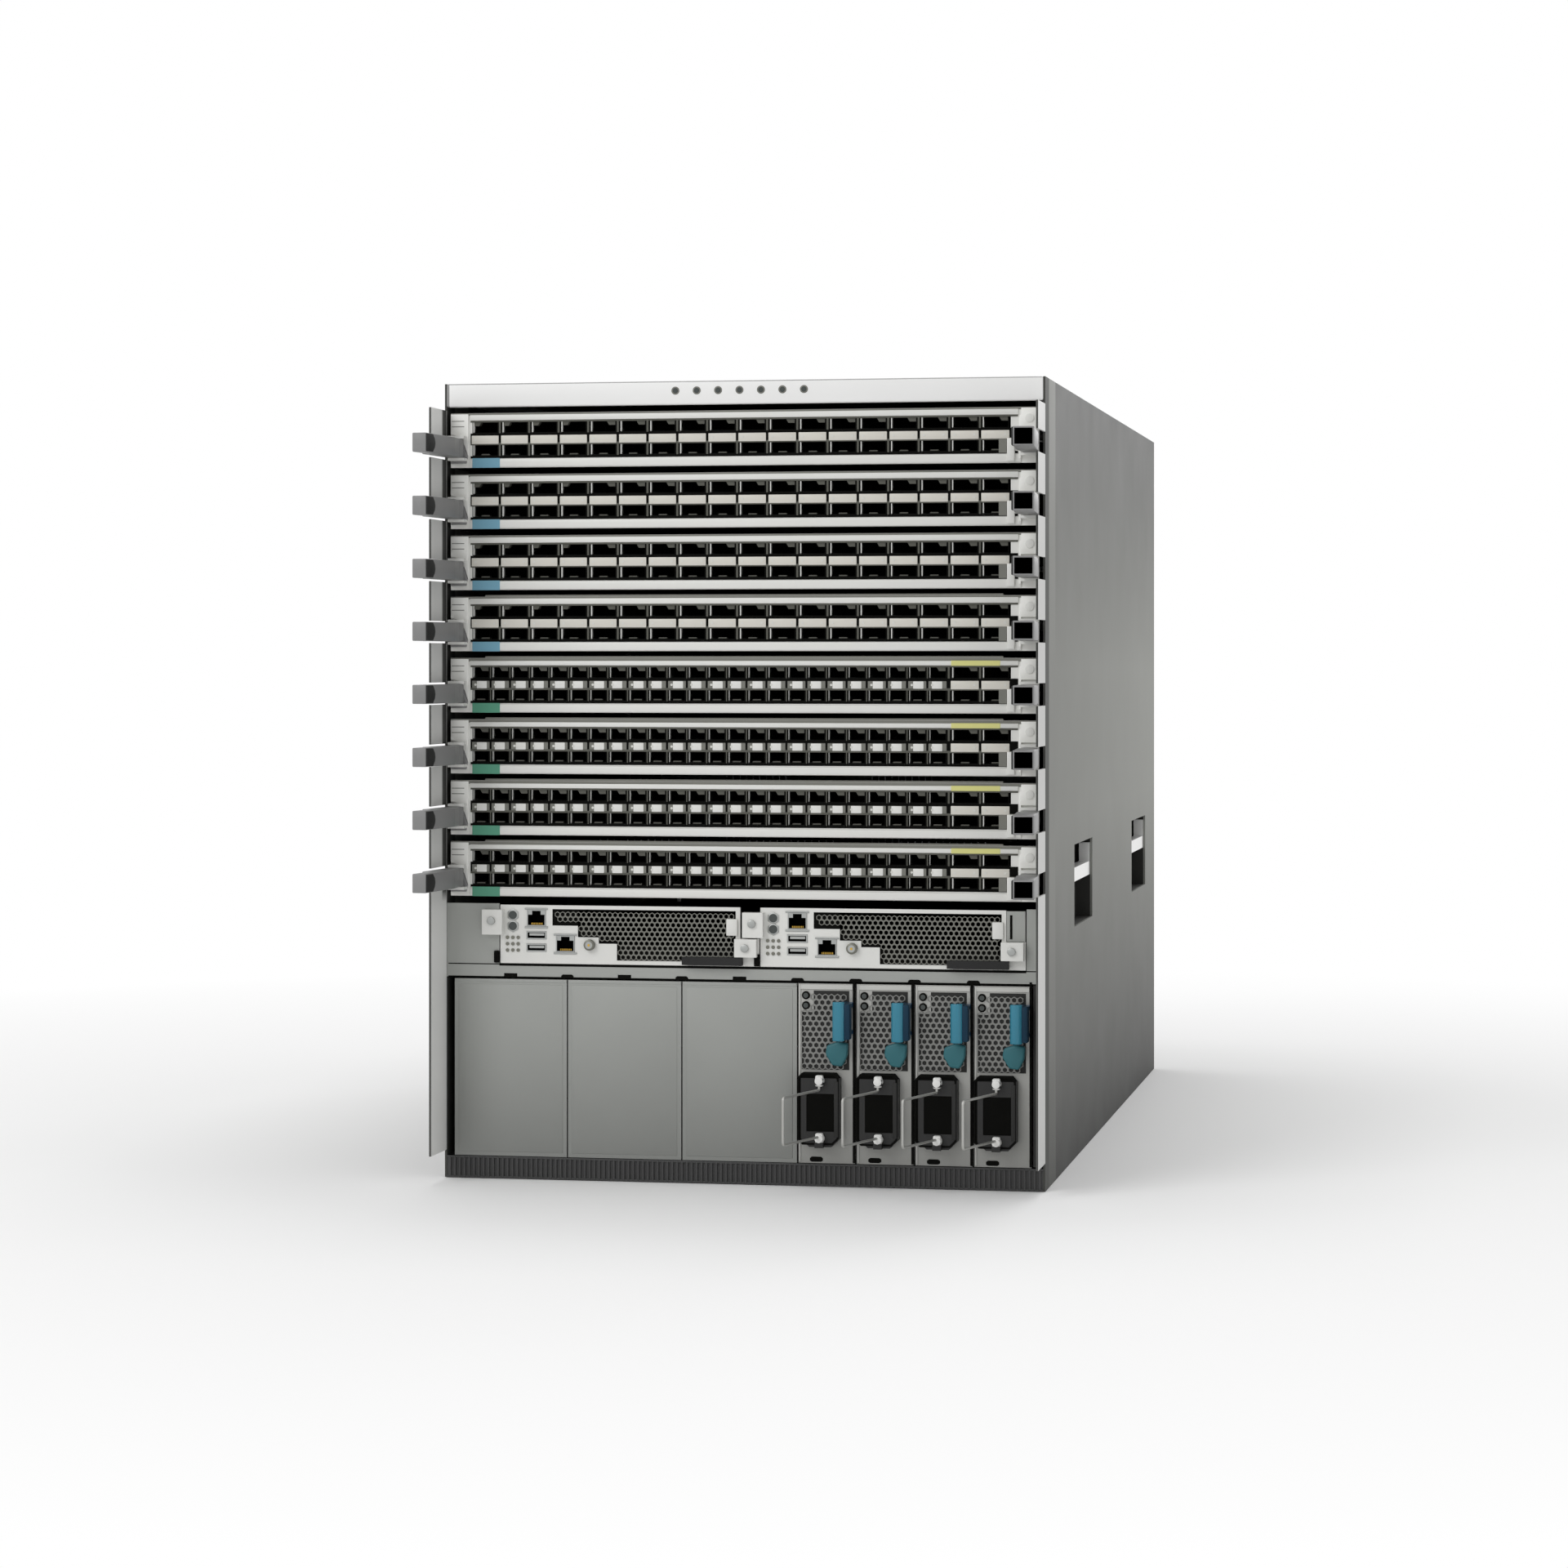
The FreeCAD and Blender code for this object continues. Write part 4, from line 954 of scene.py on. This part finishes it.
class SWITCH_OT_supervisors(bpy.types.Operator):
    """Model the supervisors' perforation, jacks, serial ports, lights and screws"""

    bl_idname = "switch.supervisors"
    bl_label = "Supervisors"

    def execute(self, context):
        pitch = context.scene.switch_sizes.module_hole / MM
        left, foot = PERFORATION_STEPS[0][0], PERFORATION_STEPS[-1][1]
        cells = hexagon_cells(left, foot, *PERFORATION_END, pitch, self.inside_steps)
        for number in (1, 2):
            body = f"supervisor_{number}"
            low = corners(body)[0]
            origin = (low.x + EAR_REACH, FRONT, low.z)
            mesh = Piece(*origin)
            mesh.honeycomb(cells, pitch, 1.1, -0.9, -0.1)
            mesh.finish(f"supervisor_mesh_{number}", body, "module_steel", strip_grey)
            piece = Piece(*origin)
            self.face(piece)
            if number == 2:
                piece.block((178, 0.2, 20.2), (191.6, 1.6, 41.8), 6, 0.3)
                piece.block((180.5, -0.1, 22), (182.2, 0.4, 39), 1)
            finishes = (face_paint, black_nylon, zinc_plate, gold_plate, smoked_lens, cage_nickel, powder_coat)
            piece.finish(f"supervisor_face_{number}", body, "module_steel", *finishes)
        return {"FINISHED"}

    def inside_steps(self, x, z):
        """Whether a hole at a place stays clear of the edges of the steps."""
        return any(x > edge + 2 and z > rise + 2 for edge, rise in PERFORATION_STEPS)

    def face(self, piece):
        """Near-black backing of painted shade, jacks, serial ports, lights, clock connector, screws and white blocks.
        """
        end, top = PERFORATION_END
        for edge, rise in PERFORATION_STEPS:
            piece.block((edge, -0.15, rise), (end, 0.2, top), 1)
        for x, z in ((20, 27), (41.6, 8.5)):
            self.jack(piece, x, z)
        for z in (17.5, 8.5):
            slot = piece.block((19.6, -0.5, z + 0.1), (34.4, 11, z + 5.9), 2)
            piece.pocket(slot, 0.9, 11, 1)
            piece.block((21.5, 1, z + 2.6), (32.5, 9, z + 4.4), 2)
        for z in (35, 27):
            piece.stud(9.5, z, 0, -0.8, 4.6, 2, sides=6, soft=0.3)
            piece.stud(9.5, z, 0, -1.0, 3.4, 4, tip=3.0)
        for row in range(3):
            for column in range(3):
                piece.stud(5.4 + 4.0 * column, 9.5 + 4.6 * row, 0, -0.7, 1.3, 5, sides=12)
        piece.stud(67, 14, 0, -4, 4.0, 5, soft=0.5)
        piece.stud(67, 14, -3.9, -4.3, 2.6, 2)
        piece.stud(67, 14, 0, -4.6, 0.9, 3)
        for x, z in ((-5, 31), (182.5, 13.5)):
            piece.stud(x, z, -6.5, -8.7, 2.9, 2, soft=0.4)
        piece.block((168, -2.2, 22), (176, -0.1, 34), 0, 0.6, 2)
        piece.block((-4.4, -2, 0.3), (-0.4, -0.1, 9), 1, 0.4)

    def jack(self, piece, x, z):
        """A jack: bright rims, a shell, a mouth with stepped upper corners and eight contacts."""
        for low, high in ((z - 1.4, z), (z + 12, z + 13.2)):
            piece.block((x - 1.6, -0.9, low), (x + 15.6, -0.1, high), 2, 0.2)
        shell = piece.block((x + 0.1, -0.6, z + 0.1), (x + 13.9, 13, z + 11.9), 2)
        piece.pocket(shell, 0.7, 13, 1)
        for corner in (x + 0.8, x + 10.2):
            piece.block((corner, -0.3, z + 8.4), (corner + 3, 3, z + 11.4), 2)
        for contact in range(8):
            pin = x + 3 + contact * 1.1
            piece.block((pin, 1, z + 1), (pin + 0.5, 9, z + 2.4), 3)


class SWITCH_OT_supplies(bpy.types.Operator):
    """Model the supplies' perforation, lights, inlet rims, handles, latches and cord bails"""

    bl_idname = "switch.supplies"
    bl_label = "Power supplies"

    def execute(self, context):
        sizes = context.scene.switch_sizes
        for number in SUPPLIES:
            left = FIRST_SUPPLY + BAY_PITCH * (number - 1)
            self.face(number, left, sizes.supply_hole / MM)
            self.pull(number, left)
            self.bail(number, left, sizes.bail_wire)
        return {"FINISHED"}

    def face(self, number, left, pitch):
        """Perforated sheet, lights, the moulded inlet and the foot slot."""
        body = f"power_supply_{number}"
        mesh = Piece(left, FRONT, 0)
        cells = hexagon_cells(2.8, 83, 38, 140, pitch, lambda x, z: x > 11.5 or z < 124)
        mesh.honeycomb(cells, pitch, 1.4, -0.4, 0.4)
        mesh.finish(f"supply_mesh_{number}", body, "supply_steel", supply_sheet)
        piece = Piece(left, FRONT, 0)
        piece.block((11.8, 0.35, 83.3), (37.6, 0.8, 139.8), 3)
        piece.block((3, 0.35, 83.3), (12, 0.8, 124.4), 3)
        # A near-black strip in the gap to the next supply, painted shade.
        piece.block((40.2, -0.2, 17), (42.0, 0.6, 148), 0)
        piece.block((1.0, -0.3, 17), (2.4, 0.6, 144.5), 4, 0.3)
        piece.block((2.4, -0.3, 140.6), (40.2, 0.6, 144.2), 4, 0.3)
        for z in (136.4, 129.2):
            piece.stud(6.2, z, 0.4, -0.8, 2.9, 0, soft=0.3)
            piece.stud(6.2, z, 0.4, -1.1, 2.1, 1, tip=1.8)
        shell = [(1.2, 35), (5, 30.5), (27, 30.5), (31.5, 35), (31.5, 78), (28.5, 81.5), (4.5, 81.5), (1.2, 78)]
        piece.pocket(piece.prism(shell, Y, -8.3, 0.4, 0), 1.4, 0.8, 0)
        piece.block((28, -8.6, 36), (31.2, -2, 76), 3, 0.6, 2)
        for z in (76.6, 35.4):
            piece.stud(18, z, -8, -14.4, 3.5, 2, tip=3.0, soft=0.8)
            piece.block((15.2, -13.6, z - 4), (20.8, -8.6, z + 4), 2, 1.2, 2)
        # A near-black plate behind the foot slot, painted shade.
        slot = [(9, 18.2), (10.4, 17.4), (17, 17.4), (18.4, 18.2), (18.4, 20), (17, 21), (10.4, 21), (9, 20)]
        piece.prism(slot, Y, 0.2, 0.7, 0)
        finishes = (black_nylon, smoked_lens, white_acetal, liner_grey, bright_edge)
        piece.finish(f"supply_face_{number}", body, "supply_steel", *finishes)

    def pull(self, number, left):
        """The loop handle's moulded cover, and the latch under it."""
        piece = Piece(left, FRONT, 0)
        grip = [(28, -15.2), (29.2, -17.6), (32, -18.8), (35, -18.6), (37, -17), (37, -14.6), (29, -14.2)]
        piece.prism(grip, Z, 105.5, 133.4, 0, 0.9, 3)
        # Dark teal on the handle's right side and its arms, painted shade.
        piece.block((36.4, -17.2, 106.5), (41, -8, 132), 1, 0.9, 2)
        for foot, top in ((129.2, 132.4), (108.2, 111.6)):
            piece.block((30.8, -16.9, foot), (38, -0.6, top), 1, 0.8, 2)
        finishes = (teal_acetal, dark_teal_acetal)
        piece.finish(f"supply_pull_{number}", f"power_supply_{number}", "supply_steel", *finishes)
        latch = Piece(left, FRONT, 0)
        # The latch in a duller teal, painted shade under the handle.
        wedge = [(22.5, 101.4), (21.6, 95), (26.5, 87.2), (33.5, 86.4), (37.2, 94), (37.8, 103), (30, 104)]
        latch.prism(wedge, Y, -7.6, -0.8, 0, 1.6, 3)
        body = f"supply_latch_{number}"
        latch.finish(f"latch_{number}", body, "teal_plastic", dull_teal_acetal, replaces=body)

    def bail(self, number, left, radius):
        """One bent wire from lug to lug, out round the cord's place and back."""
        turn = math.radians(BAIL_SPLAY)
        away = Vector((-math.sin(turn), -math.cos(turn), 0))
        pivot = Vector((left + 18, FRONT - 12, 0))
        far, near = BAIL_REACH, 4
        top, bottom = 70, 36.7
        path = [(0, top + 5.9), (0, top + 2), (0, top), (near, top), (far / 2, top), (far - 5, top), (far, top)]
        path += [(far, top - 5), (far, (top + bottom) / 2), (far, bottom + 5), (far, bottom), (far - 5, bottom)]
        path += [(far / 2, bottom), (near, bottom), (0, bottom), (0, bottom - 2), (0, bottom - 5.9)]
        points = [pivot + away * reach + Vector((0, 0, z)) for reach, z in path]
        body = f"cord_bail_{number}"
        wire(f"bail_{number}", points, radius, body, bail_steel, body)


class SWITCH_OT_blanks(bpy.types.Operator):
    """Model the raised fields of the blank covers and the rail above them"""

    bl_idname = "switch.blanks"
    bl_label = "Blank covers"

    def execute(self, context):
        for number in (1, 2, 3):
            body = f"blank_cover_{number}"
            low, high = corners(body)
            front, back = low.y - 0.35, low.y + 0.3
            piece = Piece()
            piece.block((low.x + 3, front, low.z + 3), (high.x - 3, back, high.z - 4), 0, 0.3, 2)
            piece.block((low.x + 0.2, front, high.z - 2.4), (high.x - 0.2, back, high.z - 0.1), 0, 0.3, 2)
            piece.finish(f"blank_field_{number}", body, "chassis_paint", powder_coat)
        return {"FINISHED"}


class SWITCH_OT_trim(bpy.types.Operator):
    """Model the shelf's seams and slots and the sheets that close the inside from front to rear, dark as painted
    shade
    """

    bl_idname = "switch.trim"
    bl_label = "Shelf trim"

    def execute(self, context):
        piece = Piece()
        piece.block((-217.4, FRONT - 0.15, 155.2), (217.4, FRONT + 0.3, 155.9))
        piece.block((-179, FRONT - 0.2, 154.4), (206.4, FRONT + 0.3, 156))
        piece.block((-217.4, FRONT - 0.15, 145.9), (217.4, FRONT + 0.3, 146.7))
        for slot in range(9):
            x = -170.6 + BAY_PITCH * slot
            mouth = [(-5, 145.9), (5, 145.9), (4.4, 147.8), (3.4, 148.6), (-3.4, 148.6), (-4.4, 147.8)]
            piece.prism([(x + u, z) for u, z in mouth], Y, FRONT - 0.25, FRONT + 0.3)
        piece.block((-217, FRONT + 2.6, 146.2), (217, FRONT + 4, 154.3))
        piece.block((-216.8, 158, 206), (216.8, 160.5, 564))
        piece.block((-190, 240, 146.4), (190, 241.5, 202))
        piece.block((-216.8, 380, 17), (216.8, 381.5, 145.5))
        # The dark grey slot at the right, painted shade.
        piece.block((211.4, FRONT + 0.6, 17), (218.3, FRONT + 2, 146), 1)
        piece.finish("shelf_trim", "chassis", "chassis_paint", black_nylon, liner_grey)
        return {"FINISHED"}


class SWITCH_OT_rear(bpy.types.Operator):
    """Model the fans, their guards, the controllers' faces and the exhaust perforation"""

    bl_idname = "switch.rear"
    bl_label = "Rear"

    def execute(self, context):
        sizes = context.scene.switch_sizes
        for tray in (1, 2, 3):
            self.fans(tray, sizes.guard_wire / MM)
        for number in (1, 2):
            self.controller(number)
        self.exhaust(sizes.exhaust_hole / MM)
        return {"FINISHED"}

    def fans(self, tray, radius):
        """Three rotors with seven blades each, behind wire guards."""
        body = f"fan_tray_{tray}"
        left = corners(body)[0].x
        piece = Piece()
        for duct in range(3):
            centre = Vector((left + 68.6, 0, 266 + 122 * duct))
            self.rotor(piece, centre)
            self.surround(piece, centre)
            for ring_radius in (14, 26, 38, 50, 57):
                piece.ring((centre.x, 397.6, centre.z), ring_radius, radius, 1)
            for quarter in range(4):
                angle = math.radians(45 + 90 * quarter)
                out = Vector((math.cos(angle), 0, math.sin(angle)))
                start = Vector((centre.x, 399, centre.z))
                foot = start + out * 66
                piece.rod(start + out * 14, foot, radius, 1, sides=6)
                piece.rod(foot + Vector((0, -1, 0)), foot + Vector((0, 1.4, 0)), 4, 1, soft=0.5)
        piece.finish(f"fans_{tray}", body, "fan_tray_paint", fan_plastic, zinc_plate)

    def rotor(self, piece, centre):
        """Hub and twisted blades about an axis that points to the rear."""
        hub = centre + Vector((0, 345, 0))
        piece.rod(hub, hub + Vector((0, 46, 0)), 29, 0, soft=3)
        for blade in range(7):
            verts = piece.block((27, -1, -16), (54, 1, 16))
            for vert in verts:
                pitch = math.radians(52 if vert.co.x < 40 else 30)
                vert.co = Matrix.Rotation(pitch, 3, "X") @ vert.co
            turn = Matrix.Rotation(math.tau * blade / 7, 4, "Y")
            place = Matrix.Translation(centre + Vector((0, 370, 0))) @ turn
            bmesh.ops.transform(piece.bm, matrix=place, verts=verts)

    def surround(self, piece, centre):
        """Square frame with a round mouth: a circle whose outer loop is pushed out to the square."""
        upright = Matrix.Translation(centre + Vector((0, 393, 0))) @ Matrix.Rotation(math.pi / 2, 4, "X")
        inner, outer = (
            bmesh.ops.create_circle(piece.bm, segments=40, radius=radius, matrix=upright)["verts"]
            for radius in (55.5, 56.5)
        )
        for vert in outer:
            spread = vert.co - centre
            scale = 56.6 / max(abs(spread.x), abs(spread.z))
            vert.co = (centre.x + spread.x * scale, vert.co.y, centre.z + spread.z * scale)
        edges = {edge for vert in inner + outer for edge in vert.link_edges}
        faces = bmesh.ops.bridge_loops(piece.bm, edges=list(edges))["faces"]
        piece.grow(faces, (0, 3, 0))

    def controller(self, number):
        """Jacks, lights, screws and vent slots on a controller's face."""
        body = f"system_controller_{number}"
        low = corners(body)[0]
        piece = Piece(low.x, REAR, low.z)
        for jack in range(3):
            x = 60 + 18 * jack
            shell = piece.block((x, -0.2, 14), (x + 14, 0.8, 26), 1)
            piece.pocket(shell, 1, 0.6, 0, facing=1)
        # Vent slots as near-black strips, painted shade.
        for vent in range(10):
            x = 120 + 5 * vent
            piece.block((x, -0.2, 9), (x + 2.2, 0.25, 33), 0)
        for light in range(4):
            piece.stud(30 + 6 * light, 20, -0.2, 0.7, 1.5, 2, sides=16)
        for x in (10, 204):
            piece.stud(x, 32, -0.2, 3.8, 4, 1, soft=0.6)
        piece.finish(f"controller_face_{number}", body, "module_steel", black_nylon, zinc_plate, smoked_lens)

    def exhaust(self, pitch):
        """Perforated sheet behind the windows over the supplies."""
        piece = Piece()
        cells = []
        for window in range(5):
            left = -210 + 2 * BAY_PITCH * window
            cells += hexagon_cells(left + 1, 27, left + 78, 136, pitch)
        piece.honeycomb(cells, pitch, 1.6, 397.4, 398.6)
        piece.finish("exhaust_mesh", "chassis", "chassis_paint", powder_coat)


OPERATORS = [
    SWITCH_OT_stage,
    SWITCH_OT_finishes,
    SWITCH_OT_bezel,
    SWITCH_OT_intake,
    SWITCH_OT_card_faces,
    SWITCH_OT_card_boards,
    SWITCH_OT_levers,
    SWITCH_OT_supervisors,
    SWITCH_OT_supplies,
    SWITCH_OT_blanks,
    SWITCH_OT_trim,
    SWITCH_OT_rear,
]


class SWITCH_PT_sidebar(bpy.types.Panel):
    """Steps, colours and sizes of the chassis switch"""

    bl_idname = "SWITCH_PT_sidebar"
    bl_label = "Chassis Switch"
    bl_space_type = "VIEW_3D"
    bl_region_type = "UI"
    bl_category = "Chassis Switch"

    def draw(self, context):
        for operator in OPERATORS:
            self.layout.operator(operator.bl_idname)
        for group in (context.scene.switch_colours, context.scene.switch_sizes):
            for name in group.__annotations__:
                self.layout.prop(group, name)


CLASSES = [SwitchColours, SwitchSizes, *OPERATORS, SWITCH_PT_sidebar]


def register():
    """Adds the classes, and the colours and sizes to the scene."""
    for item in CLASSES:
        bpy.utils.register_class(item)
    bpy.types.Scene.switch_colours = bpy.props.PointerProperty(type=SwitchColours)
    bpy.types.Scene.switch_sizes = bpy.props.PointerProperty(type=SwitchSizes)


def unregister():
    """Takes them away again."""
    del bpy.types.Scene.switch_sizes
    del bpy.types.Scene.switch_colours
    for item in reversed(CLASSES):
        bpy.utils.unregister_class(item)


def main():
    """Registers the add-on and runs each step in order."""
    register()
    for operator in OPERATORS:
        getattr(bpy.ops.switch, operator.bl_idname.split(".")[1])()
    boxes = {"cad": CAD_BOX, "visual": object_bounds()}
    {name: [list(corner) for corner in box] for name, box in boxes.items()}


if __name__ == "__main__":
    main()
